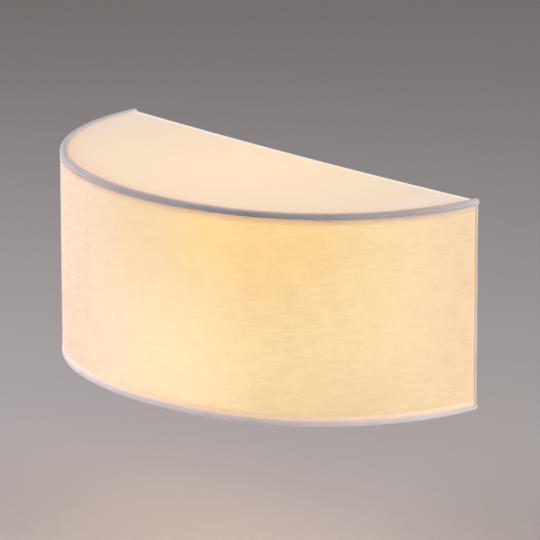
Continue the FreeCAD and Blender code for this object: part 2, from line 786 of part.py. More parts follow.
def earth_point():
    """A screw that clamps the earth lead's ring tag to the pan."""
    across, level = size["earth_x"], earth_level
    face = -pan_inside
    thick = size["tag_thickness"]
    radius = size["earth_screw_diameter"] / 2
    shank = rod("earth_shank", (across, -size["pan_front"] - size["pan_steel"], level), "Y",
                face + thick + size["pan_front"] + size["pan_steel"], radius)
    head = rod("earth_top", (across, face + thick, level), "Y", size["earth_head_height"],
               size["earth_head"] / 2)
    keep(fuse("earth", shank, head), "earth_screw")
    ring = rod("tag_ring", (across, face, level), "Y", thick, size["tag_diameter"] / 2)
    barrel_radius = size["tag_barrel"] / 2
    start = across - size["tag_diameter"] / 2 - size["tag_barrel_length"]
    barrel = rod("tag_tube", (start, face + barrel_radius, level), "X", size["tag_barrel_length"],
                 barrel_radius)
    neck = block("tag_neck", (start + size["tag_barrel_length"] / 2, across - radius),
                 (face, face + thick), (level - barrel_radius, level + barrel_radius))
    lead = size["lead_diameter"] / 2 + size["wrap_slack"]
    bore = rod("tag_bore", (start, face + barrel_radius, level), "X",
               size["tag_barrel_length"] - thick, lead)
    hole = rod("tag_hole", (across, face, level), "Y", thick, radius + size["wrap_slack"])
    keep(cut("tag", fuse("tag_solid", ring, neck, barrel), bore, hole), "earth_tag")


def lead(node, points):
    """An insulated lead through points: straight runs joined by arcs as large as the runs allow."""
    runs = [points[index + 1] - points[index] for index in range(len(points) - 1)]
    edges, last = [], points[0]
    radii = []
    for index in range(1, len(points) - 1):
        before, after = runs[index - 1], runs[index]
        half_turn = before.getAngle(after) / 2
        trim = BEND_SHARE * min(before.Length, after.Length)
        radii.append(round(trim / math.tan(half_turn), 1))
        start = points[index] - Vector(before).normalize() * trim
        end = points[index] + Vector(after).normalize() * trim
        inward = Vector(after).normalize() - Vector(before).normalize()
        middle = points[index] + inward.normalize() * radii[-1] * (1 / math.cos(half_turn) - 1)
        edges += [Part.LineSegment(last, start).toShape(), Part.Arc(start, middle, end).toShape()]
        last = end
    edges.append(Part.LineSegment(last, points[-1]).toShape())
    path = Part.Wire(edges)
    radius = SIZES["lead_diameter"] / 2
    section = Part.Wire([Part.makeCircle(radius, points[0], runs[0])])
    item = doc.addObject("Part::Feature", node + "_lead")
    item.Shape = path.makePipeShell([section], True, False)
    share = item.Shape.Volume / (math.pi * radius ** 2 * path.Length)
    print(node, "length", round(path.Length, 1), "radii", radii)
    print("    volume over section times length", round(share, 4))
    return keep(item, node)


def leads():
    """Live and neutral to the lampholder, earth to the pan, and the grommet they pass."""
    inside = -(pan_inside - size["block_depth"] / 2).number
    entry = (block_level - size["block_height"] / 2).number
    out = grommet_level.number
    face = -SIZES["pan_front"]
    spread = SIZES["lead_spread"]
    pole = SIZES["pole_pitch"]
    axis_y = lamp_y.number
    door = door_level.number
    wall_y = axis_y + SIZES["holder_radius"]
    clamp_x = SIZES["clamp_offset"]
    for node, side in (("lead_live", -1), ("lead_neutral", 1)):
        behind = [Vector(side * (pole + x), inside + y, entry + z) for x, y, z in BEHIND_PAN]
        lead(node, behind + [
            Vector(side * spread, inside, out),
            Vector(side * spread, face - 9, out - 0.5),
            Vector(side * (spread + 0.6), wall_y - 4, door),
            Vector(side * (clamp_x - 0.5), axis_y + 9, door),
            Vector(side * clamp_x, axis_y + 1, door),
        ])
    tag_end = (size["earth_x"] - size["tag_diameter"] / 2 - size["tag_barrel_length"]).number
    level = earth_level.number
    low = -pan_inside.number + SIZES["tag_barrel"] / 2
    lead("lead_earth", [
        Vector(0, inside, entry + 5),
        Vector(0, inside, entry - 5),
        Vector(5, (inside + low) / 2, level + 1.2),
        Vector(tag_end - 6, low, level),
        Vector(tag_end + 3, low, level + EDGE_TOLERANCE),
    ])

    bore, neck = size["grommet_bore"] / 2, size["grommet_neck"] / 2
    flange, lip = size["grommet_flange"] / 2, size["grommet_lip"]
    steel = size["pan_steel"]
    keep(turned("grommet", [
        (bore, -lip), (flange, -lip), (flange, length(0)), (neck, length(0)), (neck, steel),
        (flange, steel), (flange, steel + lip), (bore, steel + lip),
    ], (0, -pan_inside, grommet_level), "-Y"), "lead_grommet")


# ---------------------------------------------------------------- bracket and lampholder

def bracket():
    """The arm riveted to the pan: its plate has the hole that the lampholder is clamped in."""
    half = size["bracket_width"] / 2
    steel = size["bracket_steel"]
    face = -size["pan_front"]
    hole = size["holder_radius"] + size["holder_fit"]
    arm = block("arm", (-half, half), (lamp_y, face), (plate_bottom, plate_top))
    disc = rod("disc", (0, lamp_y, plate_bottom), "Z", steel, hole + size["bracket_rim"])
    leg = block("leg", (-half, half), (face - steel, face),
                (plate_bottom, plate_bottom + size["bracket_rise"]))
    bend = size["bracket_bend"]
    corner = block("bend_block", (-half, half), (face - steel - bend, face - steel),
                   (plate_top, plate_top + bend))
    hollow = rod("bend_hollow", (-half, face - steel - bend, plate_top + bend), "X", 2 * half, bend)
    solid = fuse("bracket_solid", arm, disc, leg, cut("bend", corner, hollow))
    holes = [rod("holder_hole", (0, lamp_y, plate_bottom), "Z", steel, hole)]
    rivets = []
    for side, sign in (("left", -1), ("right", 1)):
        across = sign * size["rivet_spacing"] / 2
        radius = size["rivet_diameter"] / 2
        spot = (across, face - steel, rivet_level)
        holes.append(rod("leg_hole_" + side, spot, "Y", steel, radius + size["wrap_slack"]))
        head = size["rivet_head"] / 2
        dome = size["rivet_dome"]
        crown = (head * head + dome * dome) / (2 * dome)
        stack = steel + size["pan_steel"]
        rivets.append(turned("rivet_" + side, [
            (length(0), -dome, crown), (head, length(0)), (radius, length(0)), (radius, stack),
            (head, stack), (head, stack + dome / 2), (length(0), stack + dome / 2),
        ], spot, "Y"))
    keep(cut("drilled_bracket", solid, *holes), "holder_bracket")
    keep(group("rivets", *rivets), "bracket_rivets")


def lampholder():
    """An E27 lampholder: cup, threaded skirt, clamping ring, insert and contacts."""
    spot = (0, lamp_y, holder_bottom)
    outer, wall = size["holder_radius"], size["holder_wall"]
    tall, chamfer = size["base_height"], size["base_chamfer"]
    flange, lip = size["base_flange"], size["base_flange_thickness"]
    cup = turned("cup", [
        (length(0), length(0)), (outer - chamfer, length(0)), (outer, chamfer), (outer, tall - lip),
        (flange, tall - lip), (flange, tall), (outer - wall, tall), (outer - wall, chamfer),
        (outer - wall - chamfer / 2, wall), (length(0), wall),
    ], spot)
    door = rod("door", (0, lamp_y + outer - 2 * wall, door_level), "Y",
               3 * wall, size["lead_entry"] / 2)
    keep(cut("cup_with_door", cup, door), "holder_base")

    skirt_top = tall + size["skirt_height"]
    bore = size["skirt_bore"] / 2
    ridge = size["skirt_rim"] / 2
    grip = tall + size["bracket_steel"] + size["ring_height"]
    profile = [(bore, tall), (outer, tall), (outer, grip)]
    level = grip
    for _ in range(SKIRT_RIDGES):
        profile += [(outer - ridge, level + ridge), (outer - ridge, level + 2 * ridge),
                    (outer, level + 3 * ridge), (outer, level + 3.5 * ridge)]
        level = level + 3.5 * ridge
    profile += [(outer, skirt_top), (bore, skirt_top)]
    keep(turned("skirt", profile, spot), "holder_skirt")

    ring_low = tall + size["bracket_steel"]
    ring_high = ring_low + size["ring_height"]
    ring = turned("clamp_ring", [
        (outer + size["holder_fit"] / 2, ring_low), (size["ring_radius"], ring_low),
        (size["ring_radius"], ring_high - wall / 2), (size["ring_radius"] - wall / 2, ring_high),
        (outer + size["holder_fit"] / 2, ring_high),
    ], spot)
    notched(ring, "clamp_ring", size["ring_radius"], size["ring_notch"] / 2, RING_NOTCHES, ring_high)
    keep(ring, "holder_ring")

    seat = size["insert_rise"]
    top = seat + size["insert_thickness"]
    disc = outer - wall - size["wrap_slack"]
    keep(turned("insert", [
        (length(0), seat), (disc, seat), (disc, top), (length(0), top),
    ], spot), "holder_insert")

    thread = thread_profile(size["shell_thread"], top + size["contact_rise"] + size["lamp_gap"],
                            SHELL_TURNS)
    shell = size["shell_radius"]
    shell_top = top + size["shell_height"]
    keep(turned("shell", [(size["shell_thread"], top)] + thread
                + [(size["shell_thread"], thread[-1][1]), (size["shell_thread"], shell_top),
                   (shell, shell_top), (shell, top)], spot),
         "holder_shell")

    half = size["contact_width"] / 2
    thick = size["contact_thickness"]
    strip = block("tongue", (-half, half), (lamp_y - half, lamp_y + half),
                  (contact_top - thick, contact_top))
    foot = block("foot", (-half, half), (lamp_y - half, lamp_y - half + thick),
                 (insert_top, contact_top - thick))
    keep(fuse("centre_contact", strip, foot), "holder_contact")

    clamps = []
    half_block = size["clamp_block"] / 2
    for side, sign in (("left", -1), ("right", 1)):
        middle = sign * size["clamp_offset"]
        under = holder_bottom + seat
        solid = block("clamp_block_" + side, (middle - half_block, middle + half_block),
                      (lamp_y - half_block, lamp_y + half_block), (under - size["clamp_height"], under))
        way = rod("clamp_way_" + side, (middle, lamp_y - half_block, under - size["clamp_height"] / 2),
                  "Y", size["clamp_block"], size["sleeve_bore"] / 2)
        clamps.append(cut("clamp_" + side, solid, way))
    keep(group("holder_terminals", *clamps), "holder_clamps")


def thread_profile(crest, start, turns):
    """Corners up the side of a rounded thread, from the first trough to the last."""
    depth, pitch = size["thread_depth"], size["thread_pitch"]
    half = pitch / 4
    radius = (half * half + depth * depth / 4) / depth
    corners = []
    middle = crest - depth / 2
    for turn in range(turns):
        low = start + size["cap_lead_in"] + pitch * turn
        corners += [(middle, low, radius), (middle, low + pitch / 2, -radius)]
    corners.append((middle, start + size["cap_lead_in"] + pitch * turns))
    return corners


# ---------------------------------------------------------------- lamp

def lamp():
    """An E27 lamp with an opal dome, standing upright in the holder."""
    spot = (0, lamp_y, lamp_tip)
    start, wall, top = size["cap_lead_in"], size["cap_wall"], size["cap_height"]
    neck = size["cap_neck"]
    bore = size["cap_thread"] - size["thread_depth"] - wall
    keep(turned("cap", [(bore, start)] + thread_profile(size["cap_thread"], length(0), CAP_TURNS)
                + [(size["cap_thread"], top - wall), (size["cap_thread"], top), (bore, top)], spot),
         "bulb_cap")

    tip, tip_top = size["tip_radius"], size["tip_height"]
    crown = (tip * tip + tip_top * tip_top) / (2 * tip_top)
    keep(turned("tip", [
        (length(0), length(0), crown), (tip, tip_top), (length(0), tip_top),
    ], spot), "bulb_tip")
    keep(turned("insulator", [
        (length(0), tip_top), (tip + wall, tip_top), (neck, start), (bore, start), (bore, start + wall),
        (length(0), start + wall),
    ], spot), "bulb_insulator")

    collar, seam, radius = size["collar_radius"], size["dome_seam"], size["lamp_radius"]
    wide = top + size["collar_height"]
    shell = size["housing_wall"]
    flare = size["housing_curve"]
    edge = radius - shell
    keep(turned("housing", [
        (bore, top), (collar, top), (collar, wide, -flare), (radius, seam),
        (edge, seam, flare), (collar - shell, wide), (bore, wide),
    ], spot), "bulb_housing")

    board = size["board_thickness"]
    keep(turned("board", [
        (length(0), seam), (edge, seam), (edge, seam + board), (length(0), seam + board),
    ], spot), "led_board")

    length_total = size["lamp_length"]
    rise = length_total - seam
    swell = (radius * radius + rise * rise) / (2 * rise)
    inner_rise = rise - size["dome_wall"]
    inner_radius = edge + size["wrap_slack"]
    inner = (inner_radius * inner_radius + inner_rise * inner_rise) / (2 * inner_rise)
    keep(turned("dome", [
        (inner_radius, seam), (radius, seam, swell), (length(0), length_total),
        (length(0), length_total - size["dome_wall"], -inner),
    ], spot), "bulb_dome")


shade_skins()
shade_lid()
shade_frame()
rolled_edges()
strap()
pan()
thumb_screws()
terminals()
earth_point()
leads()
bracket()
lampholder()
lamp()

# ---------------------------------------------------------------- checks and files

doc.recompute()
for item in doc.Objects:
    if {"Invalid", "Error"} & set(item.State):
        raise RuntimeError(f"{item.Name} did not build: {item.State}")
for node, item in nodes.items():
    if item.Shape.isNull() or not item.Shape.isValid() or not item.Shape.Solids:
        raise RuntimeError(f"{node} has no valid solid")

os.makedirs("parts", exist_ok=True)
for node, item in nodes.items():
    item.Shape.exportStep(os.path.join("parts", node + ".step"))
print(len(nodes), "pieces,", sum(len(item.Shape.Solids) for item in nodes.values()), "solids")
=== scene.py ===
# %% [markdown]
# A half-drum wall light: cloth stretched over a wire frame, lit by one upright lamp. The packed
# solids are the frame of the work. The cloth and its rolled edges are built anew round them, a few
# small screws get their slots, and every solid that already has the right shape keeps it and gets a
# finish.

# %% The frame
import json
import math

import bmesh
import bpy
from mathutils import Matrix, Vector


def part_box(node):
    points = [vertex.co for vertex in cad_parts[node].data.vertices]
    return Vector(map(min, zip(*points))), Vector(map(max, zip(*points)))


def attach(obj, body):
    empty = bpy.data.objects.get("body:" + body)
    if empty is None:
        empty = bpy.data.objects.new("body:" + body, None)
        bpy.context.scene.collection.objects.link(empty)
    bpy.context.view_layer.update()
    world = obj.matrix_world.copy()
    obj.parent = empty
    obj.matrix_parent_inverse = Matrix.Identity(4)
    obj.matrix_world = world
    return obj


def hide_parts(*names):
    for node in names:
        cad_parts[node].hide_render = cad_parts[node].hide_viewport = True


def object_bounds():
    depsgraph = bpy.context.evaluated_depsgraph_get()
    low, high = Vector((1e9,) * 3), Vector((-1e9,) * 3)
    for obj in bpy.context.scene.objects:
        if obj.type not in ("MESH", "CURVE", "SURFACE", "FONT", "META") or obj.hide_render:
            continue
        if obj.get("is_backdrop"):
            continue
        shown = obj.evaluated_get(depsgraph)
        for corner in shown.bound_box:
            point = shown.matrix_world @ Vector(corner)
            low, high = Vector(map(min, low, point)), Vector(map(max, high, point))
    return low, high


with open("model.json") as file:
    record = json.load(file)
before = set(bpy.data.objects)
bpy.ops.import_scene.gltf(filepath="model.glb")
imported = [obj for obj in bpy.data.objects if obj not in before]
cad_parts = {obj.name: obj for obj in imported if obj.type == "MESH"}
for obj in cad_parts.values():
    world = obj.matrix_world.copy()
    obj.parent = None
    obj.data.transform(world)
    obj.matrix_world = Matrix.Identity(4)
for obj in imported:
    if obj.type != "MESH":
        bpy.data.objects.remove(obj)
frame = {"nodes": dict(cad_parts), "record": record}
cad_low, cad_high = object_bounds()
nodes = frame["nodes"]
colours = {entry["slot"]: entry["base_color"][:3] for entry in frame["record"]["materials"]}
print("solids", len(nodes), "box", [round(v, 4) for v in (*cad_low, *cad_high)])

# %% [markdown]
# The shade's plan is three arcs that run into each other: a wide one in front and one at each side.
# It could be a curve drawn by hand, but arcs keep the cloth on its bent wires. The width and depth
# are read from the solids, so that the cloth lies where its solid does. The rolled edges stand a
# little proud of the cloth, and the front arc comes a little further out than the side ones. A
# place on the cloth is given by how far along the plan it is and how high, as when it was cut flat.

# %% The plan of the shade
ROLL_PROUD = 0.0004
FRONT_RISE = 0.004
half_width = cad_high.x - ROLL_PROUD
depth = -cad_low.y - ROLL_PROUD
side_radius = depth - FRONT_RISE
side_centre = half_width - side_radius
front_centre = (side_centre ** 2 - FRONT_RISE ** 2) / (2 * FRONT_RISE)
front_radius = depth + front_centre
joint_angle = math.atan2(front_centre, side_centre)
print("radius in front", round(front_radius, 4), "and at the sides", round(side_radius, 4))

# %% A line along the plan


def plan_line(inset, rear, step):
    """Points (x, y, outward x, outward y, length along the outer face) from right to left.

    inset is how far inside the outer face the line runs, and rear how far off the wall it ends.
    """
    side = side_radius - inset
    start = math.asin(rear / side)
    arcs = (
        (side_centre, 0.0, side_radius, -start, -joint_angle),
        (0.0, front_centre, front_radius, -joint_angle, joint_angle - math.pi),
        (-side_centre, 0.0, side_radius, joint_angle - math.pi, start - math.pi),
    )
    line = []
    run = 0.0
    for x, y, radius, first, last in arcs:
        count = max(2, round(radius * (first - last) / step))
        for index in range(1 if line else 0, count + 1):
            angle = first + (last - first) * index / count
            out_x, out_y = math.cos(angle), math.sin(angle)
            reach = radius - inset
            line.append((x + reach * out_x, y + reach * out_y, out_x, out_y,
                         run + radius * (first - angle)))
        run += radius * (first - last)
    return line


*_, developed = plan_line(inset=0.0, rear=0.0, step=0.001)[-1]
print("developed length", round(developed, 4))

# %% [markdown]
# A finish is a node tree. It could be wired by hand in the editor, but a tree that is written down
# can be read and changed like any text. These few helpers keep each one short: one adds a node and
# fills its sockets with numbers or with other nodes' results, and the rest name the patterns used
# most. A Mix node lists the sockets of every type that it can mix, so those it uses for colours are
# named by their numbers.

# %% Helpers for finishes
MIX_SHARE, MIX_FIRST, MIX_SECOND, MIX_RESULT = 0, 6, 7, 2


class Finish:
    """A material, with calls that add the nodes its surface needs."""

    def __init__(self, name, **sockets):
        self.material = bpy.data.materials.new(name)
        self.material.use_nodes = True
        self.tree = self.material.node_tree
        self.shader = self.tree.nodes["Principled BSDF"]
        for socket, value in sockets.items():
            self.set(socket.replace("_", " "), value)

    def set(self, socket, value):
        """Fills one of the shader's sockets."""
        self.fill(self.shader.inputs[socket], value)

    def fill(self, socket, value):
        """Links a result to a socket, or writes a number or colour in it."""
        if isinstance(value, bpy.types.NodeSocket):
            self.tree.links.new(value, socket)
        elif socket.type == "RGBA":
            socket.default_value = (*value[:3], 1.0)
        else:
            socket.default_value = value

    def node(self, kind, inputs=(), result=0, **settings):
        """Adds a node and returns one of its results."""
        item = self.tree.nodes.new(kind)
        for key, value in settings.items():
            setattr(item, key, value)
        for key, value in dict(inputs).items():
            self.fill(item.inputs[key], value)
        return item.outputs[result]

    def place(self, source="Object", stretch=(1, 1, 1)):
        """Coordinates on the piece, stretched along its axes."""
        spot = self.node("ShaderNodeTexCoord", result=source)
        return self.node("ShaderNodeMapping", {"Vector": spot, "Scale": stretch})

    def parts(self, source):
        """X, Y and Z of the coordinates on the piece, one by one."""
        spot = self.node("ShaderNodeTexCoord", result=source)
        return self.node("ShaderNodeSeparateXYZ", {0: spot}).node.outputs

    def noise(self, place, scale=1.0, detail=4.0, rough=0.55):
        """Soft grey clouds, about scale of them to the metre."""
        return self.node("ShaderNodeTexNoise", {"Vector": place, "Scale": scale, "Detail": detail,
                                                "Roughness": rough})

    def math(self, what, first, second=0.0, third=0.0):
        """One step of arithmetic on up to three values."""
        return self.node("ShaderNodeMath", {0: first, 1: second, 2: third}, operation=what)

    def spread(self, value, low, high, to_low=0.0, to_high=1.0):
        """Maps a range of a value onto another, held at its ends."""
        return self.node("ShaderNodeMapRange", {"Value": value, "From Min": low, "From Max": high,
                                                "To Min": to_low, "To Max": to_high})

    def blend(self, share, first, second):
        """A colour between two."""
        inputs = {MIX_SHARE: share, MIX_FIRST: first, MIX_SECOND: second}
        return self.node("ShaderNodeMix", inputs, result=MIX_RESULT, data_type="RGBA")

    def paint(self, share, first, second):
        """Gives the surface a colour between two."""
        self.set("Base Color", self.blend(share, first, second))

    def glow(self, colour, strength=1.0):
        """Adds the lamplight that the piece gives off."""
        self.set("Emission Color", colour)
        self.set("Emission Strength", strength)

    def bump(self, height, strength, distance):
        """Makes the surface uneven by up to a distance."""
        self.set("Normal", self.node("ShaderNodeBump", {"Height": height, "Strength": strength,
                                                        "Distance": distance}))


def shade_of(colour, share):
    """A colour made darker or lighter."""
    return tuple(min(1.0, part * share) for part in colour)


print("calls for a finish", [name for name in vars(Finish) if not name.startswith("_")])

# %% [markdown]
# The cloth is white linen. Its threads could be modelled, but there are far too many, so a texture
# draws them: three noises, stretched into level threads, upright threads and, now and then, a thick
# level one. Those thick ones, the slubs, still show as faint streaks from across the room. All of
# them read the UV map, which holds true lengths on the cloth, so they keep their size round the
# curve. Sizes are along the shade and up it, in metres.

# %% The weave
WEFT_SIZE = (0.018, 0.0007)
WARP_SIZE = (0.0008, 0.012)
SLUB_SIZE = (0.014, 0.0012)
WEFT_SHARE = 0.6
WARP_SHARE = 0.3
SLUB_SHARE = 0.16
SLUB_RANGE = (0.48, 0.68)
THICK_RANGE = (0.40, 0.62)


def threads(cloth, size, detail, rough):
    """Noise drawn out to the size of a thread."""
    along, up = size
    return cloth.noise(cloth.place("UV", (1 / along, 1 / up, 1)), detail=detail, rough=rough)


def weave_of(cloth):
    """Level threads crossed by fainter upright ones, with slubs here and there."""
    weft = threads(cloth, WEFT_SIZE, detail=3.0, rough=0.6)
    warp = threads(cloth, WARP_SIZE, detail=2.0, rough=0.5)
    slubs = cloth.spread(threads(cloth, SLUB_SIZE, detail=1.0, rough=0.5), *SLUB_RANGE)
    fine = cloth.math("MULTIPLY_ADD", warp, WARP_SHARE, cloth.math("MULTIPLY", weft, WEFT_SHARE))
    return cloth.math("MULTIPLY_ADD", slubs, SLUB_SHARE, fine)


def thick_of(cloth, weave):
    """1 where the threads are thick, 0 where they are thin."""
    return cloth.spread(weave, *THICK_RANGE)


print("threads to the metre, level and upright", round(1 / WEFT_SIZE[1]), round(1 / WARP_SIZE[0]))

# %% [markdown]
# Beside a roll the cloth is folded over, so a hem of double thickness shows against the light, with
# a fine line where it ends. These helpers turn a place on the cloth into a share from 0 to 1, which
# a finish then uses to go from one colour to another. The shares are tied to places on the piece
# and not to the view, so they stay put when the light is seen from elsewhere.

# %% Places on the cloth
LAMP_SPOT = (0.0, -0.058, 0.035)
LEFT_END = (-0.030, -0.150)
WALL_END = (-0.035, 0.008)
HEM = 0.0034
HEM_LINE = 0.00035


def nearness(cloth, near, far):
    """1 where the lamp is near, 0 where it is far."""
    spot = cloth.node("ShaderNodeTexCoord", result="Object")
    away = cloth.node("ShaderNodeVectorMath", {0: spot, 1: LAMP_SPOT}, result="Value",
                      operation="DISTANCE")
    return cloth.spread(away, near, far, 1.0, 0.0)


def painted_light_ends(cloth):
    """1 on the shade's left side and at the wall, where light is painted on the upper roll and its
    hem.
    """
    x, y, _ = cloth.parts("Object")
    return cloth.math("MAXIMUM", cloth.spread(x, *LEFT_END), cloth.spread(y, *WALL_END))


def doubled_of(cloth, from_edge):
    """1 on the doubled cloth of a hem."""
    return cloth.spread(from_edge, HEM, HEM - HEM_LINE)


def hem_line_of(cloth, from_edge):
    """1 on the fine line where a hem ends."""
    off_line = cloth.math("ABSOLUTE", cloth.math("SUBTRACT", from_edge, HEM))
    return cloth.spread(off_line, HEM_LINE, HEM_LINE * 2, 1.0, 0.0)


skin_low, skin_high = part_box("shade_fabric")
print("skin from", round(skin_low.z, 4), "to", round(skin_high.z, 4), "with hems of", HEM)

# %% [markdown]
# The skin is the curved cloth. Two things light it: the studio, from outside, and the lamp, from
# inside. Lamplight that the cloth scatters looks the same from every side, so the material gives it
# off: paler low down near the lamp, pinker on the left and beside the wall. Lamplight that goes
# nearly straight through shows as a blurred yellow patch in line with the lamp, wherever one is.
# It could be painted on, but then it would stay where it is. Instead the cloth and the film behind
# it let some light through, roughly, and the lit lamp stands behind them. Ranges are in metres: a
# reach is a distance from the lamp, heights are up the cloth, and the two last ones run off the
# wall and across the shade.

# %% The skin's colours
DARK = (0.0, 0.0, 0.0)
LINEN = (0.80, 0.78, 0.76)
LINEN_THICK = shade_of(LINEN, 0.90)
LINEN_THICK_BACK = shade_of(LINEN, 0.78)
SKIN_THROUGH = 0.45
SKIN_GLOW = (0.42, 0.26, 0.02)
SKIN_GLOW_LOW = (0.81, 0.595, 0.25)
SKIN_GLOW_WALL = (0.40, 0.205, 0.0)
SKIN_GLOW_SIDE = (0.33, 0.19, 0.045)
SKIN_THREAD_SHADE = 0.16
LOW_REACH = (0.110, 0.180)
LOW_HEIGHTS = (0.045, -0.060)
NEAR_WALL = (-0.060, -0.010)
FAR_LEFT = (0.060, -0.085)
print("skin colours from", SKIN_GLOW, "to", SKIN_GLOW_LOW)

# %% The skin's hems
MID_HEIGHT = (-0.01, 0.01)
HEM_LINE_SHARES = (0.28, 0.5)
HEM_LINE_GLOW = (0.24, 0.08, 0.0)
# The upper hem is darkened just under its roll: painted shade of the roll, with the dimmer
# lamplight through the doubled cloth, fading out over the ramp.
TOP_HEM_SHADE_RAMP = (0.0, 0.0026)
TOP_HEM_PAINTED_SHADE = (0.05, 0.02, 0.01)
TOP_HEM_ENDS_PAINTED_LIGHT = (0.34, 0.26, 0.20)
TOP_HEM_GLOW = (0.32, 0.14, 0.01)
BOTTOM_HEM_GLOW = (0.47, 0.285, 0.14)


def skin_hems(cloth, glow):
    """The skin's glow with that of its two hems laid over it, and painted shade under the upper
    roll.
    """
    _, height, _ = cloth.parts("UV")
    from_edge = cloth.math("SUBTRACT", skin_high.z, cloth.math("ABSOLUTE", height))
    # Painted shade of the upper roll on the cloth just under it; on the left side and at the wall a
    # paler painted light takes its place.
    deep = cloth.blend(painted_light_ends(cloth), TOP_HEM_PAINTED_SHADE, TOP_HEM_ENDS_PAINTED_LIGHT)
    top_glow = cloth.blend(cloth.spread(from_edge, *TOP_HEM_SHADE_RAMP), deep, TOP_HEM_GLOW)
    hem_glow = cloth.blend(cloth.spread(height, *MID_HEIGHT), BOTTOM_HEM_GLOW, top_glow)
    glow = cloth.blend(doubled_of(cloth, from_edge), glow, hem_glow)
    line = cloth.math("MULTIPLY", hem_line_of(cloth, from_edge),
                      cloth.spread(height, *MID_HEIGHT, *HEM_LINE_SHARES))
    return cloth.blend(line, glow, HEM_LINE_GLOW)


print("strength of the hem line below and above", HEM_LINE_SHARES)

# %% Finish of the skin


def skin_glow(cloth, thick):
    """The lamplight that the skin scatters, from one end of it to the other."""
    _, height, _ = cloth.parts("UV")
    x, y, _ = cloth.parts("Object")
    low = cloth.math("MULTIPLY", nearness(cloth, *LOW_REACH), cloth.spread(height, *LOW_HEIGHTS))
    glow = cloth.blend(low, SKIN_GLOW, SKIN_GLOW_LOW)
    glow = cloth.blend(cloth.spread(y, *NEAR_WALL), glow, SKIN_GLOW_WALL)
    glow = cloth.blend(cloth.spread(x, *FAR_LEFT), glow, SKIN_GLOW_SIDE)
    return cloth.blend(cloth.math("MULTIPLY", thick, SKIN_THREAD_SHADE), glow, DARK)


def skin_material():
    """The skin's outer face."""
    cloth = Finish("skin_cloth", Roughness=0.9, IOR=1.4, Transmission_Weight=SKIN_THROUGH)
    weave = weave_of(cloth)
    thick = thick_of(cloth, weave)
    cloth.paint(thick, LINEN, LINEN_THICK)
    cloth.glow(skin_hems(cloth, skin_glow(cloth, thick)))
    cloth.bump(weave, strength=0.5, distance=0.0002)
    return cloth.material


def skin_back_material():
    """The skin's inner face, which only tints and blurs, so that the outer one decides the rest."""
    cloth = Finish("skin_back", Roughness=0.9, IOR=1.4, Transmission_Weight=1.0)
    cloth.paint(thick_of(cloth, weave_of(cloth)), LINEN, LINEN_THICK_BACK)
    return cloth.material


skin_finish = skin_material()
skin_back_finish = skin_back_material()
print("skin finish", len(skin_finish.node_tree.nodes), "nodes")

# %% [markdown]
# The lid is a flat piece of the same linen, close over the lamp, so it glows brightest above it and
# cools towards the corners. Its rear hem is pale, and beside the curved rim it turns pink. It could
# let light through as the skin does, but no patch of lamplight shows on it, so its glow is enough.
# How far a place is from the rim is stored on the mesh as an attribute, which the finish reads by
# its name.

# %% Finish of the lid
LID_LINEN = (0.62, 0.59, 0.56)
LID_LINEN_THICK = shade_of(LID_LINEN, 0.96)
LID_GLOW_NEAR = (0.74, 0.53, 0.29)
LID_GLOW_FAR = (0.60, 0.44, 0.29)
LID_GLOW_CORNER = (0.59, 0.50, 0.40)
LID_RIM_GLOW = (0.62, 0.36, 0.22)
LID_HEM_GLOW = (0.64, 0.55, 0.46)
LID_THREAD_SHADE = 0.08
LID_REACH = (0.040, 0.160)
CORNER_REACH = (0.140, 0.185)
RIM_REACH = (0.012, 0.0)
RIM_SHARES = (0.0, 0.9)


def lid_material():
    """The lid: brightest over the lamp, pale at its rear hem, pink at the curved edge."""
    cloth = Finish("lid_cloth", Roughness=0.8)
    _, back, _ = cloth.parts("UV")
    rim = cloth.node("ShaderNodeAttribute", result="Fac", attribute_name="from_rim")
    weave = weave_of(cloth)
    thick = thick_of(cloth, weave)
    glow = cloth.blend(nearness(cloth, *LID_REACH), LID_GLOW_FAR, LID_GLOW_NEAR)
    glow = cloth.blend(nearness(cloth, *CORNER_REACH), LID_GLOW_CORNER, glow)
    glow = cloth.blend(cloth.math("MULTIPLY", thick, LID_THREAD_SHADE), glow, DARK)
    glow = cloth.blend(cloth.spread(rim, *RIM_REACH, *RIM_SHARES), glow, LID_RIM_GLOW)
    cloth.glow(cloth.blend(doubled_of(cloth, back), glow, LID_HEM_GLOW))
    cloth.paint(thick, LID_LINEN, LID_LINEN_THICK)
    cloth.bump(weave, strength=0.4, distance=0.0002)
    return cloth.material


lid_finish = lid_material()
print("lid finish", len(lid_finish.node_tree.nodes), "nodes")

# %% [markdown]
# The rolled edges are the same cloth, several layers thick round a wire, so little lamplight comes
# through their middle, and they look cool and grey beside the skin. Towards the cloth that they
# hold the layers thin out, and pink light shows. The lower roll, the two upright ones and the upper
# one's ends are paler, with a pale grey glow that is painted light: light from below on the lower
# roll, from the side on the upright ones, and on the left and at the wall on the upper one. One
# material for all four would be simpler, but they glow differently, so a function makes three that
# share a weave. It follows the roll: the finish reads a UV map that counts length along it and
# round it.

# %% Rolled cloth finish
roll_low, roll_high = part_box("top_trim")
roll_radius = (roll_high.z - roll_low.z) / 2
roll_level = roll_high.z - roll_radius
ROLL_PALE = (0.56, 0.53, 0.54)
ROLL_DEEP = (0.46, 0.43, 0.44)
ROLL_EDGE_GLOW = (0.34, 0.22, 0.17)
# Painted light: pale grey glows on the upper roll's ends, the lower roll and the upright rolls.
TOP_ROLL_ENDS_PAINTED_LIGHT = (0.20, 0.21, 0.21)
BOTTOM_ROLL_PAINTED_LIGHT = (0.22, 0.20, 0.195)
EDGE_ROLL_PAINTED_LIGHT = (0.17, 0.15, 0.13)
ROLL_MIDDLE = (0.0014, 0.0026)
FOLD_SIZE = (0.025, 0.004)
FOLD_SHARE = 0.5
FOLD_RANGE = (0.40, 0.60)


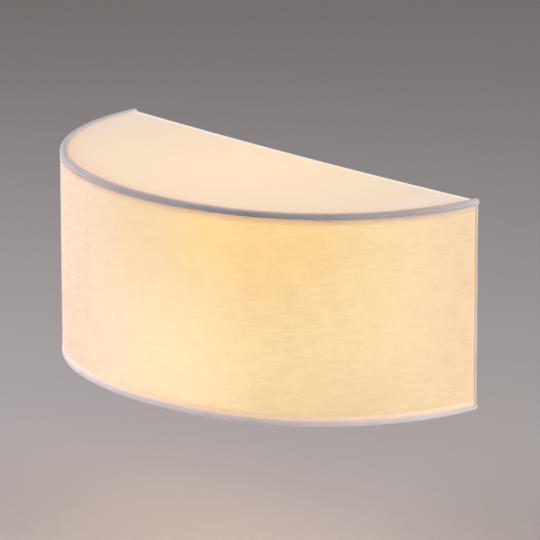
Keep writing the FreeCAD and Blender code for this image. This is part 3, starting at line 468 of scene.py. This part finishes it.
def rolled_material(name, middle_glow, level=None, ends_painted_light=None):
    """Rolled cloth. level is the height of its axis, or None for a roll that stands upright."""
    cloth = Finish(name, Roughness=0.8, Sheen_Weight=0.1)
    folds = threads(cloth, FOLD_SIZE, detail=2.0, rough=0.5)
    share = cloth.math("MULTIPLY_ADD", folds, FOLD_SHARE,
                       cloth.math("MULTIPLY", weave_of(cloth), 1 - FOLD_SHARE))
    cloth.paint(cloth.spread(share, *FOLD_RANGE), ROLL_DEEP, ROLL_PALE)
    cloth.bump(share, strength=0.6, distance=0.0004)
    glow = middle_glow
    if level is not None:
        _, _, height = cloth.parts("Object")
        off_axis = cloth.math("ABSOLUTE", cloth.math("SUBTRACT", height, level))
        glow = cloth.blend(cloth.spread(off_axis, *ROLL_MIDDLE), middle_glow, ROLL_EDGE_GLOW)
    # Painted light on the upper roll's ends, on the shade's left side and at the wall.
    if ends_painted_light is not None:
        glow = cloth.blend(painted_light_ends(cloth), glow, ends_painted_light)
    cloth.glow(glow)
    return cloth.material


top_roll_finish = rolled_material("top_roll_cloth", DARK, roll_level, TOP_ROLL_ENDS_PAINTED_LIGHT)
bottom_roll_finish = rolled_material("bottom_roll_cloth", BOTTOM_ROLL_PAINTED_LIGHT, -roll_level)
edge_roll_finish = rolled_material("edge_roll_cloth", EDGE_ROLL_PAINTED_LIGHT)
print("roll radius", round(roll_radius, 4), "at heights of", round(roll_level, 4), "up and down")

# %% [markdown]
# The painted wires and pan, the metals and the plastics share one recipe: a colour that wanders a
# little, a roughness that is broken up by fine grain, and a bump at the scale of the real surface,
# from orange peel on paint to drawn lines on brass. A picture could be wrapped round each piece,
# but noise on Object coordinates needs no UV map and has no seam. Only the numbers and the way the
# grain is stretched differ. Grain counts to the metre, and heights are in metres.

# %% The recipe for hard finishes
MOST_OF_NOISE = (0.3, 0.7)
BLOTCHES = 60.0
ROUGH_SPAN = (0.8, 1.25)
GRAIN_STRENGTH = 0.35


def hard_finish(slot, rough, grain, height, metal=0.0, stretch=(1, 1, 1), vary=0.12, coat=0.0):
    """A paint, metal or plastic: its slot's colour, broken up by grain of a given fineness."""
    item = Finish(slot, Metallic=metal, Coat_Weight=coat)
    fine = item.noise(item.place("Object", stretch), grain, detail=3.0)
    broad = item.noise(item.place("Object"), BLOTCHES, detail=2.0, rough=0.5)
    item.paint(item.spread(broad, *MOST_OF_NOISE), shade_of(colours[slot], 1 - vary),
               shade_of(colours[slot], 1 + vary / 2))
    smoothest, roughest = (min(1.0, rough * share) for share in ROUGH_SPAN)
    item.set("Roughness", item.spread(fine, *MOST_OF_NOISE, smoothest, roughest))
    item.bump(fine, GRAIN_STRENGTH, height)
    return item


HARD_FINISHES = {
    "frame_paint": dict(rough=0.38, grain=900.0, height=0.00006, vary=0.05),
    "pan_paint": dict(rough=0.50, grain=1100.0, height=0.00010, vary=0.05),
    "nickel": dict(rough=0.28, grain=1500.0, height=0.00003, metal=1.0, stretch=(0.15, 1, 1)),
    "rivet": dict(rough=0.35, grain=1200.0, height=0.00003, metal=1.0),
    "brass": dict(rough=0.30, grain=1200.0, height=0.00003, metal=1.0, stretch=(1, 1, 0.2)),
    "nylon": dict(rough=0.45, grain=700.0, height=0.00004, vary=0.06),
    "bush": dict(rough=0.75, grain=900.0, height=0.00006, vary=0.3),
    "lead_brown": dict(rough=0.35, grain=800.0, height=0.00003),
    "lead_blue": dict(rough=0.35, grain=800.0, height=0.00003),
    "lead_green_yellow": dict(rough=0.35, grain=800.0, height=0.00003),
    "holder_plastic": dict(rough=0.30, grain=600.0, height=0.00003, vary=0.05, coat=0.2),
    "ceramic": dict(rough=0.70, grain=900.0, height=0.00006, vary=0.08),
    "cap_metal": dict(rough=0.30, grain=1400.0, height=0.00003, metal=1.0, stretch=(1, 1, 0.2)),
    "insulator": dict(rough=0.15, grain=400.0, height=0.00002, vary=0.2),
    "solder": dict(rough=0.45, grain=900.0, height=0.00006, metal=1.0),
    "lamp_white": dict(rough=0.40, grain=900.0, height=0.00004, vary=0.05),
    "opal": dict(rough=0.40, grain=600.0, height=0.00002, vary=0.03),
    "board": dict(rough=0.40, grain=700.0, height=0.00003, vary=0.06),
}
finishes = {slot: hard_finish(slot, **numbers) for slot, numbers in HARD_FINISHES.items()}
print("hard finishes", len(finishes))

# %% [markdown]
# Zinc plate and film have recipes of their own. The wall strap, its studs and a few screws are
# zinc-plated, with fine level lines and a faint blue and yellow cast. The films behind the cloths
# are satin plastic, which passes most light and spreads it. A hard finish has one colour and no
# way through it, so neither could be made with that recipe.

# %% Zinc plate
ZINC_COOL = (0.60, 0.63, 0.68)
ZINC_WARM = (0.70, 0.68, 0.60)
ZINC_ROUGH = (0.26, 0.45)
ZINC_LINES = 1400.0
ZINC_DRAWN = (0.06, 1, 1)
CAST_CLOUDS = 45.0
CAST_RANGE = (0.35, 0.65)


def zinc_finish():
    """Bright zinc plate over rolled strip."""
    item = Finish("zinc", Metallic=1.0)
    lines = item.noise(item.place("Object", ZINC_DRAWN), ZINC_LINES, rough=0.6)
    cast = item.noise(item.place("Object"), CAST_CLOUDS, detail=1.0, rough=0.5)
    item.paint(item.spread(cast, *CAST_RANGE), ZINC_COOL, ZINC_WARM)
    item.set("Roughness", item.spread(lines, *MOST_OF_NOISE, *ZINC_ROUGH))
    item.bump(lines, GRAIN_STRENGTH, 0.00005)
    return item


finishes["zinc"] = zinc_finish()
print("zinc", len(finishes["zinc"].tree.nodes), "nodes")

# %% Film
FILM_DEEP = (0.90, 0.86, 0.78)
FILM_PALE = (0.96, 0.93, 0.87)
FILM_GLOW = (0.08, 0.05, 0.02)
FILM_CLOUDS = 30.0
FILM_GRAIN = 500.0


def film_finish():
    """Satin plastic film: it passes most light, and spreads it."""
    item = Finish("film", Roughness=0.4, IOR=1.2, Transmission_Weight=0.95)
    item.glow(FILM_GLOW)
    tone = item.noise(item.place("Object"), FILM_CLOUDS, detail=2.0, rough=0.5)
    item.paint(item.spread(tone, *MOST_OF_NOISE), FILM_DEEP, FILM_PALE)
    item.bump(item.noise(item.place("Object"), FILM_GRAIN), strength=0.2, distance=0.00003)
    return item


finishes["film"] = film_finish()
print("film", len(finishes["film"].tree.nodes), "nodes")

# %% [markdown]
# Two of the hard finishes get something more. The earth lead has a yellow stripe on its green,
# which a wave texture draws at a slant. The lamp's dome is lit: it is what shows as the yellow
# patch through the skin, and it lights the inside of the shade. Then each plain solid whose slot
# has a finish gets it, in place of the flat colour that it was packed with.

# %% Stripe and lamplight
LEAD_GREEN = (0.09, 0.36, 0.10)
LEAD_YELLOW = (0.80, 0.70, 0.08)
STRIPES = 90.0
STRIPE_EDGE = (0.45, 0.55)
LAMP_GLOW = (1.0, 0.66, 0.20)
LAMP_STRENGTH = 2.2

lead = finishes["lead_green_yellow"]
wave = lead.node("ShaderNodeTexWave", {"Vector": lead.place("Object"), "Scale": STRIPES}, result=1,
                 bands_direction="DIAGONAL")
lead.paint(lead.spread(wave, *STRIPE_EDGE), LEAD_GREEN, LEAD_YELLOW)
finishes["opal"].glow(LAMP_GLOW, LAMP_STRENGTH)
print("lamp's strength", LAMP_STRENGTH)

# %% Finishes on the plain solids
slot_of = {entry["node"]: entry["material_slot"] for entry in frame["record"]["subparts"]}
for name, node in nodes.items():
    if slot_of[name] in finishes:
        node.data.materials.clear()
        node.data.materials.append(finishes[slot_of[name]].material)
print("slots with a finish", len(finishes), "besides the cloth")

# %% [markdown]
# A stretched cloth is a sheet that follows its wires. It could be simulated, but nothing here sags,
# so a grid is laid where the cloth goes. Its columns follow the curve and its UV map holds true
# lengths, so the weave keeps its size. A Solidify modifier then gives it thickness inwards, and the
# result is kept as a plain mesh.

# %% Helpers for sheets
CLOTH = 0.0004


def put(name, data):
    """An object with the given data, placed in the scene."""
    item = bpy.data.objects.new(name, data)
    bpy.context.scene.collection.objects.link(item)
    return item


def mesh_from(name, points, faces, uvs, material):
    """A mesh object from points, faces and one UV pair for each point."""
    mesh = bpy.data.meshes.new(name)
    mesh.from_pydata(points, [], faces)
    layer = mesh.uv_layers.new(name="UVMap")
    for loop in mesh.loops:
        layer.data[loop.index].uv = uvs[loop.vertex_index]
    mesh.materials.append(material)
    mesh.shade_smooth()
    return put(name, mesh)


def sheet_grid(name, columns, rows, spot, material, back=None):
    """A closed sheet: spot(column, row) gives a point on its outer face and its UV pair."""
    made = [spot(column, row) for column in range(columns) for row in range(rows)]
    faces = [(c * rows + r, c * rows + r + 1, (c + 1) * rows + r + 1, (c + 1) * rows + r)
             for c in range(columns - 1) for r in range(rows - 1)]
    item = mesh_from(name, [point for point, _ in made], faces, [uv for _, uv in made], material)
    shell = item.modifiers.new("thickness", "SOLIDIFY")
    shell.thickness = CLOTH
    shell.offset = -1.0
    if back:
        item.data.materials.append(back)
        shell.material_offset = 1
    return item


def made_mesh(item):
    """A new mesh with all that the item's modifiers do to it."""
    graph = bpy.context.evaluated_depsgraph_get()
    return bpy.data.meshes.new_from_object(item.evaluated_get(graph), preserve_all_data_layers=True,
                                           depsgraph=graph)


def finished(item):
    """The piece with its modifiers made part of its mesh."""
    mesh = made_mesh(item)
    item.modifiers.clear()
    item.data = mesh
    return item


print("cloth", CLOTH, "thick")

# %% [markdown]
# The curved skin is one such sheet, from one upright roll round the front to the other. Its rows
# are close enough for the hems: there the cloth is doubled, and that layer stands a little proud,
# with a short ramp up to it. The inner face has a finish of its own, the sheet's second material.

# %% The curved skin
HEM_PROUD = 0.0002
HEM_RAMP = 0.0008
SKIN_STEP = 0.0025
SKIN_ROWS = 71
skin_line = plan_line(0.0, -skin_high.y, SKIN_STEP)


def hem_height(from_edge):
    """How proud the cloth stands at a distance from its edge."""
    return HEM_PROUD * min(1.0, max(0.0, (HEM - from_edge) / HEM_RAMP))


def skin_spot(column, row):
    """A point on the skin and its UV pair."""
    x, y, out_x, out_y, run = skin_line[column]
    z = skin_low.z + (skin_high.z - skin_low.z) * row / (SKIN_ROWS - 1)
    proud = hem_height(skin_high.z - abs(z))
    return (x + out_x * proud, y + out_y * proud, z), (run, z)


shade_cloth = finished(sheet_grid("shade_cloth", len(skin_line), SKIN_ROWS, skin_spot, skin_finish,
                                  skin_back_finish))
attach(shade_cloth, "shade")
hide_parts("shade_fabric")

# %% [markdown]
# The lid is cut to the same plan. Its rear edge isn't straight once the cloth is stretched: the
# tension draws the middle off the wall by a few millimetres. Rows run from that edge to the curve,
# closer together at the hem, and columns crowd towards the two corners, where the plan turns. The
# UV map is the lid's own plan, with V counted from the rear edge.

# %% The lid's outline
lid_low, lid_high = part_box("lid_fabric")
LID_BOW = 0.004
lid_half = lid_high.x
lid_inset = depth + lid_low.y
bow_radius = (lid_half ** 2 + LID_BOW ** 2) / (2 * LID_BOW)


def lid_front(x):
    """The lid's curved edge at a place across it, as its Y, which is 0 at the wall."""
    x = abs(x)
    front = front_radius - lid_inset
    joint = side_centre * front / (front_radius - side_radius)
    if x < joint:
        return front_centre - math.sqrt(front ** 2 - x ** 2)
    return -math.sqrt(max((side_radius - lid_inset) ** 2 - (x - side_centre) ** 2, 0.0))


def lid_rear(x):
    """The lid's bowed edge at a place across it, as its Y."""
    return lid_high.y - (math.sqrt(bow_radius ** 2 - x ** 2) - (bow_radius - LID_BOW))


def from_rim(x, y):
    """How far a place on the lid is from its curved edge."""
    x = abs(x)
    if math.atan2(front_centre - y, x) > joint_angle:
        return front_radius - math.hypot(x, y - front_centre) - lid_inset
    return side_radius - math.hypot(x - side_centre, y) - lid_inset


print("lid's middle from", round(lid_front(0.0), 4), "to", round(lid_rear(0.0), 4))

# %% The lid
LID_COLUMNS = 161
LID_ROWS = 61
LID_CROWDING = 1.6


def lid_spot(column, row):
    """A point on the lid and its UV pair."""
    x = lid_half * math.sin(math.pi * (column / (LID_COLUMNS - 1) - 0.5))
    rear = lid_rear(x)
    back = max(rear - lid_front(x), 0.0) * (row / (LID_ROWS - 1)) ** LID_CROWDING
    return (x, rear - back, lid_high.z + hem_height(back)), (x, back)


lid_cloth = sheet_grid("lid_cloth", LID_COLUMNS, LID_ROWS, lid_spot, lid_finish)
rim = lid_cloth.data.attributes.new("from_rim", "FLOAT", "POINT")
for vert in lid_cloth.data.vertices:
    rim.data[vert.index].value = from_rim(vert.co.x, vert.co.y)
lid_cloth = finished(lid_cloth)
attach(lid_cloth, "shade")
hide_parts("lid_fabric")

# %% [markdown]
# A geometry tree is a recipe for a mesh. It could be drawn in the editor, but here it is written
# down like the finishes. These helpers make a tree with named inputs, add nodes to it, and run it
# on a curve or on points. An input is set by its socket's identifier, since a modifier doesn't go
# by its name, and copies are made real at the end, since a plain mesh holds no copies.

# %% Helpers for geometry trees


def new_tree(name, sockets):
    """A geometry tree with a geometry input, the named inputs and a geometry output."""
    tree = bpy.data.node_groups.new(name, "GeometryNodeTree")
    tree.interface.new_socket("Geometry", in_out="INPUT", socket_type="NodeSocketGeometry")
    for label, kind in sockets:
        tree.interface.new_socket(label, in_out="INPUT", socket_type="NodeSocket" + kind)
    tree.interface.new_socket("Geometry", in_out="OUTPUT", socket_type="NodeSocketGeometry")
    return tree, tree.nodes.new("NodeGroupInput"), tree.nodes.new("NodeGroupOutput")


def add(tree, kind, inputs=(), **settings):
    """Adds a node to a geometry tree and links or fills its inputs."""
    item = tree.nodes.new(kind)
    for key, value in settings.items():
        setattr(item, key, value)
    for key, value in dict(inputs).items():
        if isinstance(value, bpy.types.NodeSocket):
            tree.links.new(value, item.inputs[key])
        else:
            item.inputs[key].default_value = value
    return item


def calc(tree, operation, *values):
    """The result of a Math node."""
    return add(tree, "ShaderNodeMath", enumerate(values), operation=operation).outputs[0]


def end_tree(tree, outside, geometry, material):
    """Ends a tree: its copies are made real, and all of it gets the material."""
    real = add(tree, "GeometryNodeRealizeInstances", {0: geometry})
    painted = add(tree, "GeometryNodeSetMaterial",
                  {"Geometry": real.outputs[0], "Material": material})
    tree.links.new(painted.outputs[0], outside.inputs[0])


def grown(name, data, tree, values):
    """The mesh that a tree makes of a curve or of points, given its named inputs."""
    source = put(name, data)
    modifier = source.modifiers.new("tree", "NODES")
    modifier.node_group = tree
    for socket in tree.interface.items_tree:
        if socket.in_out == "INPUT" and socket.name in values:
            modifier[socket.identifier] = values[socket.name]
    mesh = made_mesh(source)
    bpy.data.objects.remove(source)
    return mesh


print("helpers for trees", [helper.__name__ for helper in (new_tree, add, calc, end_tree, grown)])

# %% [markdown]
# A rolled edge is a line with a round section, wrapped by hand, so it is never quite even. A plain
# bevelled curve would be too even. Geometry Nodes do this well: a curve goes in, its radius is
# varied by noise along its length, and the tube that comes out is turned into a plain mesh. The
# length along the curve and the way round its section are kept on the way, for the UV map.

# %% A tree for rolled edges
ROLL_STEP = 0.002
ROLL_SIDES = 20
NOISE_MIDDLE = 0.5
HALF_ROUND = 0.5


def kept(tree, curve, name, value):
    """Keeps a value on a curve's points, so that the tube made from it has it too."""
    item = tree.nodes.new("GeometryNodeCaptureAttribute")
    item.capture_items.new("FLOAT", name)
    tree.links.new(curve, item.inputs["Geometry"])
    tree.links.new(value, item.inputs[name])
    return item


def rolled_tree():
    """An uneven tube along a curve, with the length along it and round it as its UV map."""
    tree, inside, outside = new_tree("rolled_edge", (("Radius", "Float"), ("Unevenness", "Float"),
                                                     ("Lump Size", "Float"), ("Cloth", "Material")))
    radius = inside.outputs["Radius"]
    even = add(tree, "GeometryNodeResampleCurve",
               {"Curve": inside.outputs["Geometry"], "Length": ROLL_STEP}, mode="LENGTH")
    place = add(tree, "GeometryNodeSplineParameter")
    along = kept(tree, even.outputs[0], "Along", place.outputs["Length"])
    lumps = add(tree, "ShaderNodeTexNoise",
                {"Scale": calc(tree, "DIVIDE", 1.0, inside.outputs["Lump Size"]), "Detail": 2.0})
    swell = calc(tree, "MULTIPLY_ADD", calc(tree, "SUBTRACT", lumps.outputs[0], NOISE_MIDDLE),
                 inside.outputs["Unevenness"], radius)
    profile = add(tree, "GeometryNodeCurvePrimitiveCircle",
                  {"Resolution": ROLL_SIDES, "Radius": 1.0})
    around = kept(tree, profile.outputs[0], "Around", place.outputs["Factor"])
    tube = add(tree, "GeometryNodeCurveToMesh",
               {"Curve": along.outputs[0], "Profile Curve": around.outputs[0], "Fill Caps": True,
                "Scale": swell})
    folded = calc(tree, "ABSOLUTE", calc(tree, "SUBTRACT", around.outputs["Around"], HALF_ROUND))
    girth = calc(tree, "MULTIPLY", radius, math.tau)
    spot = add(tree, "ShaderNodeCombineXYZ",
               {0: along.outputs["Along"], 1: calc(tree, "MULTIPLY", folded, girth)})
    mapped = add(tree, "GeometryNodeStoreNamedAttribute",
                 {"Geometry": tube.outputs[0], "Name": "UVMap", "Value": spot.outputs[0]},
                 data_type="FLOAT2", domain="CORNER")
    end_tree(tree, outside, mapped.outputs[0], inside.outputs["Cloth"])
    return tree


roll_tree = rolled_tree()
print("rolled edge tree", len(roll_tree.nodes), "nodes")

# %% [markdown]
# Four rolls bind the shade: one round the top, one round the bottom and one down each rear corner.
# Each is made a little thinner than its solid, so that its lumps stay inside it. The tube's ends
# are closed and its doubled points merged, so that no seam is left, and its faces turned outwards.

# %% The rolled edges
ROLL_FIT = 0.97
UNEVENNESS = 0.06
LUMP_SIZE = 0.03
MERGE = 1e-6
roll_line = plan_line(roll_radius - ROLL_PROUD, -roll_high.y, ROLL_STEP)


def rolled(name, points, full_radius, node, cloth):
    """A rolled edge along points, in place of a solid."""
    radius = full_radius * ROLL_FIT
    curve = bpy.data.curves.new(name, "CURVE")
    curve.dimensions = "3D"
    spline = curve.splines.new("POLY")
    spline.points.add(len(points) - 1)
    for point, spot in zip(spline.points, points):
        point.co = (*spot, 1.0)
    mesh = grown(name + "_line", curve, roll_tree,
                 {"Radius": radius, "Unevenness": radius * UNEVENNESS, "Lump Size": LUMP_SIZE,
                  "Cloth": cloth})
    mesh.shade_smooth()
    work = bmesh.new()
    work.from_mesh(mesh)
    bmesh.ops.remove_doubles(work, verts=work.verts, dist=MERGE)
    bmesh.ops.recalc_face_normals(work, faces=work.faces)
    work.to_mesh(mesh)
    work.free()
    item = put(name, mesh)
    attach(item, "shade")
    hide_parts(node)
    print(name, len(mesh.polygons), "faces")


for name, level, node, cloth in (("top_roll", roll_level, "top_trim", top_roll_finish),
                                 ("bottom_roll", -roll_level, "bottom_trim", bottom_roll_finish)):
    rolled(name, [(x, y, level) for x, y, _, _, _ in roll_line], roll_radius, node, cloth)
for side in ("left", "right"):
    low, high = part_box("edge_trim_" + side)
    middle = (low + high) / 2
    ends = [(middle.x, middle.y, level) for level in (-roll_level, roll_level)]
    rolled("edge_roll_" + side, ends, (high.x - low.x) / 2, "edge_trim_" + side, edge_roll_finish)

# %% [markdown]
# Terminal screws have slots, and the two screws through the pan have crosses, which the solids
# leave out. Each could be cut by hand, but one tree makes them all: a round head with one or two
# bars taken out of it, a shank where there is one, and a copy on each point that the tree gets. Its
# sizes are inputs. A slot's bar reaches right across the head and a cross's bars half across it,
# and these reaches, like a slot's width and depth further down, are shares of the head's radius.

# %% A tree for slotted screws
HEAD_SIDES = 32
SHANK_SIDES = 24
SLOT_REACH = 2.4
CROSS_REACH = 1.1
TOWARDS_WALL = (-math.pi / 2, 0.0, 0.0)
FLOAT_MIX_FIRST, FLOAT_MIX_SECOND = 2, 3


def cut_head(tree, inside):
    """A round head with a slot, or with a cross where Cross is 1."""
    radius, height = inside.outputs["Radius"], inside.outputs["Height"]
    cross, width = inside.outputs["Cross"], inside.outputs["Slot Width"]
    deep = calc(tree, "MULTIPLY", inside.outputs["Slot Depth"], 2.0)
    reach = add(tree, "ShaderNodeMix", {
        MIX_SHARE: cross, FLOAT_MIX_FIRST: calc(tree, "MULTIPLY", radius, SLOT_REACH),
        FLOAT_MIX_SECOND: calc(tree, "MULTIPLY", radius, CROSS_REACH)}).outputs[0]
    top = add(tree, "ShaderNodeCombineXYZ", {"Z": calc(tree, "MULTIPLY", height, 0.5)})
    head = add(tree, "GeometryNodeMeshCylinder",
               {"Vertices": HEAD_SIDES, "Radius": radius, "Depth": height}).outputs[0]
    for x, y in ((reach, width), (width, calc(tree, "MULTIPLY", cross, reach))):
        size = add(tree, "ShaderNodeCombineXYZ", {"X": x, "Y": y, "Z": deep})
        cube = add(tree, "GeometryNodeMeshCube", {"Size": size.outputs[0]})
        bar = add(tree, "GeometryNodeTransform",
                  {"Geometry": cube.outputs[0], "Translation": top.outputs[0]})
        head = add(tree, "GeometryNodeMeshBoolean", {"Mesh 1": head, "Mesh 2": bar.outputs[0]},
                   operation="DIFFERENCE").outputs[0]
    return head


def shank_under(tree, inside):
    """A screw's shank, just under its head."""
    length = inside.outputs["Shank Length"]
    rod = add(tree, "GeometryNodeMeshCylinder", {
        "Vertices": SHANK_SIDES, "Radius": inside.outputs["Shank Radius"], "Depth": length})
    both = calc(tree, "ADD", length, inside.outputs["Height"])
    under = add(tree, "ShaderNodeCombineXYZ", {"Z": calc(tree, "MULTIPLY", both, -0.5)})
    moved = add(tree, "GeometryNodeTransform",
                {"Geometry": rod.outputs[0], "Translation": under.outputs[0]})
    return moved.outputs[0]


def screw_tree():
    """A slotted screw on each point, with its head towards the wall."""
    tree, inside, outside = new_tree("slotted_screw", (
        ("Radius", "Float"), ("Height", "Float"), ("Slot Width", "Float"), ("Slot Depth", "Float"),
        ("Cross", "Float"), ("Has Shank", "Bool"), ("Shank Radius", "Float"),
        ("Shank Length", "Float"), ("Metal", "Material")))
    head = cut_head(tree, inside)
    both = add(tree, "GeometryNodeJoinGeometry")
    for part in (head, shank_under(tree, inside)):
        tree.links.new(part, both.inputs[0])
    screw = add(tree, "GeometryNodeSwitch", {
        "Switch": inside.outputs["Has Shank"], "False": head, "True": both.outputs[0]},
        input_type="GEOMETRY")
    spots = add(tree, "GeometryNodeInstanceOnPoints",
                {"Points": inside.outputs["Geometry"], "Instance": screw.outputs[0],
                 "Rotation": TOWARDS_WALL})
    end_tree(tree, outside, spots.outputs[0], inside.outputs["Metal"])
    return tree


slot_tree = screw_tree()
print("slotted screw tree", len(slot_tree.nodes), "nodes")

# %% [markdown]
# The screws' places and sizes aren't typed in again: they are read from the plain solids that the
# slotted ones stand in for. One node may hold several screws, so a copy of its mesh is merged and
# taken apart into islands, and each island's box is one screw.

# %% The screws' places


def islands(node):
    """The box of each separate solid in a node."""
    work = bmesh.new()
    work.from_mesh(nodes[node].data)
    bmesh.ops.remove_doubles(work, verts=work.verts, dist=MERGE)
    left = set(work.verts)
    found = []
    while left:
        group = set()
        queue = [left.pop()]
        while queue:
            vert = queue.pop()
            group.add(vert)
            for edge in vert.link_edges:
                other = edge.other_vert(vert)
                if other in left:
                    left.remove(other)
                    queue.append(other)
        spots = [vert.co for vert in group]
        found.append((Vector([min(s[i] for s in spots) for i in range(3)]),
                      Vector([max(s[i] for s in spots) for i in range(3)])))
    work.free()
    return found


print("clamp screws", len(islands("terminal_clamp_screws")))

# %% The slotted screws
SLOT_WIDTH = 0.32
SLOT_DEPTH = 0.5


def slotted(name, node, cross=False, head=None, shank_radius=None):
    """Slotted screws in place of plain ones. head is a head's height, or None for no shank."""
    boxes = islands(node)
    low, high = boxes[0]
    length = high.y - low.y
    height = head or length
    mesh = bpy.data.meshes.new(name + "_spots")
    spots = [((a.x + b.x) / 2, b.y - height / 2, (a.z + b.z) / 2) for a, b in boxes]
    mesh.from_pydata(spots, [], [])
    radius = (high.x - low.x) / 2
    values = {"Radius": radius, "Height": height, "Slot Width": radius * SLOT_WIDTH,
              "Slot Depth": radius * SLOT_DEPTH, "Cross": float(cross), "Has Shank": bool(head),
              "Metal": finishes[slot_of[node]].material}
    if head:
        values.update({"Shank Radius": shank_radius, "Shank Length": length - height})
    item = put(name, grown(name + "_spots", mesh, slot_tree, values))
    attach(item, "wall_unit")
    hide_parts(node)
    print(name, len(item.data.polygons), "faces")


slotted("clamp_screws", "terminal_clamp_screws")
slotted("fixing_screw", "terminal_fixing_screw", cross=True, head=0.0018, shank_radius=0.0015)
slotted("earth_clamp_screw", "earth_screw", cross=True, head=0.0026, shank_radius=0.002)

# %% [markdown]
# The camera stands to the light's right and a little above it, and far off, so its lens is long.
# Its place and lens were found by fitting the shade's corners and outline. The fit gave the focal
# length in pixels of a square picture, which the sensor's width turns into millimetres.

# %% Camera
CAMERA_SPOT = (2.658, -2.483, 0.995)
YAW = math.radians(47.29)
PITCH = math.radians(15.46)
ROLL = math.radians(-0.11)
FOCAL_PIXELS = 5421.6
FRAME_PIXELS = 540
SENSOR = 36.0
FARTHEST = 100.0

camera_data = bpy.data.cameras.new("camera")
camera_data.sensor_width = SENSOR
camera_data.lens = FOCAL_PIXELS * SENSOR / FRAME_PIXELS
camera_data.clip_end = FARTHEST
camera = put("camera", camera_data)
camera.matrix_world = (Matrix.Translation(CAMERA_SPOT) @ Matrix.Rotation(YAW, 4, "Z")
                       @ Matrix.Rotation(math.pi / 2 - PITCH, 4, "X")
                       @ Matrix.Rotation(ROLL, 4, "Z"))
bpy.context.scene.camera = camera
print("lens", round(camera_data.lens, 1))

# %% [markdown]
# The floor is pale, and close enough under the open shade to show a faint pool of its light. It
# could be a curved backdrop, but seen from above one square is enough, if it is so large that no
# edge of it comes into the picture.

# %% Floor
FLOOR_DROP = 0.12
FLOOR_REACH = 12.0
FLOOR_PAINT = (0.72, 0.67, 0.65)
floor_level = cad_low.z - FLOOR_DROP
floor_mesh = bpy.data.meshes.new("floor")
floor_mesh.from_pydata([(x * FLOOR_REACH, y * FLOOR_REACH, floor_level)
                        for x, y in ((-1, -1), (1, -1), (1, 1), (-1, 1))], [], [(0, 1, 2, 3)])
floor_mesh.materials.append(Finish("floor_paint", Roughness=0.9, Base_Color=FLOOR_PAINT).material)
put("floor", floor_mesh)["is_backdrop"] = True
print("floor at", round(floor_level, 4))

# %% [markdown]
# Two soft lights, one from the left and one from the right, leave the middle of the rolled edge
# darker. Their beams are narrowed, as a grid on a softbox does, so that they light the shade and
# less of the floor under it. A narrowed light keeps its power, so its middle gets brighter. Divided
# by that gain, the power is as strong on the shade as an open light's. The world adds a little even
# light from all round.

# %% Light and world
BEAM = math.radians(80)
BEAM_GAIN = math.tan(BEAM / 2) / (math.tan(BEAM / 2) - BEAM / 2)
SKY_COLOUR = (0.80, 0.78, 0.77, 1.0)
SKY_STRENGTH = 0.25


def softbox(name, spot, size, power, colour):
    """An area light that looks at the middle of the shade."""
    data = bpy.data.lights.new(name, "AREA")
    data.size = size
    data.energy = power / BEAM_GAIN
    data.spread = BEAM
    data.color = colour
    item = put(name, data)
    item.location = spot
    target = Vector((0, -depth / 2, 0))
    item.rotation_euler = (target - Vector(spot)).to_track_quat("-Z", "Y").to_euler()
    print(name, round(data.energy, 1), "watts")


softbox("left_softbox", (-1.9, -1.45, 0.5), size=1.2, power=67.0, colour=(0.90, 0.89, 1.0))
softbox("right_softbox", (2.0, 0.5, 0.5), size=1.0, power=38.0, colour=(1.0, 0.98, 0.96))
world = bpy.data.worlds.new("studio")
world.use_nodes = True
sky = world.node_tree.nodes["Background"]
sky.inputs["Color"].default_value = SKY_COLOUR
sky.inputs["Strength"].default_value = SKY_STRENGTH
bpy.context.scene.world = world
bpy.context.scene.view_settings.view_transform = "Standard"

# %% [markdown]
# The dressed part stays about as large as its solids, and both boxes are printed, so that they can
# be set side by side.

# %% Sizes and end
low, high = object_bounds()
print("visual box", [round(v, 4) for v in (*low, *high)])
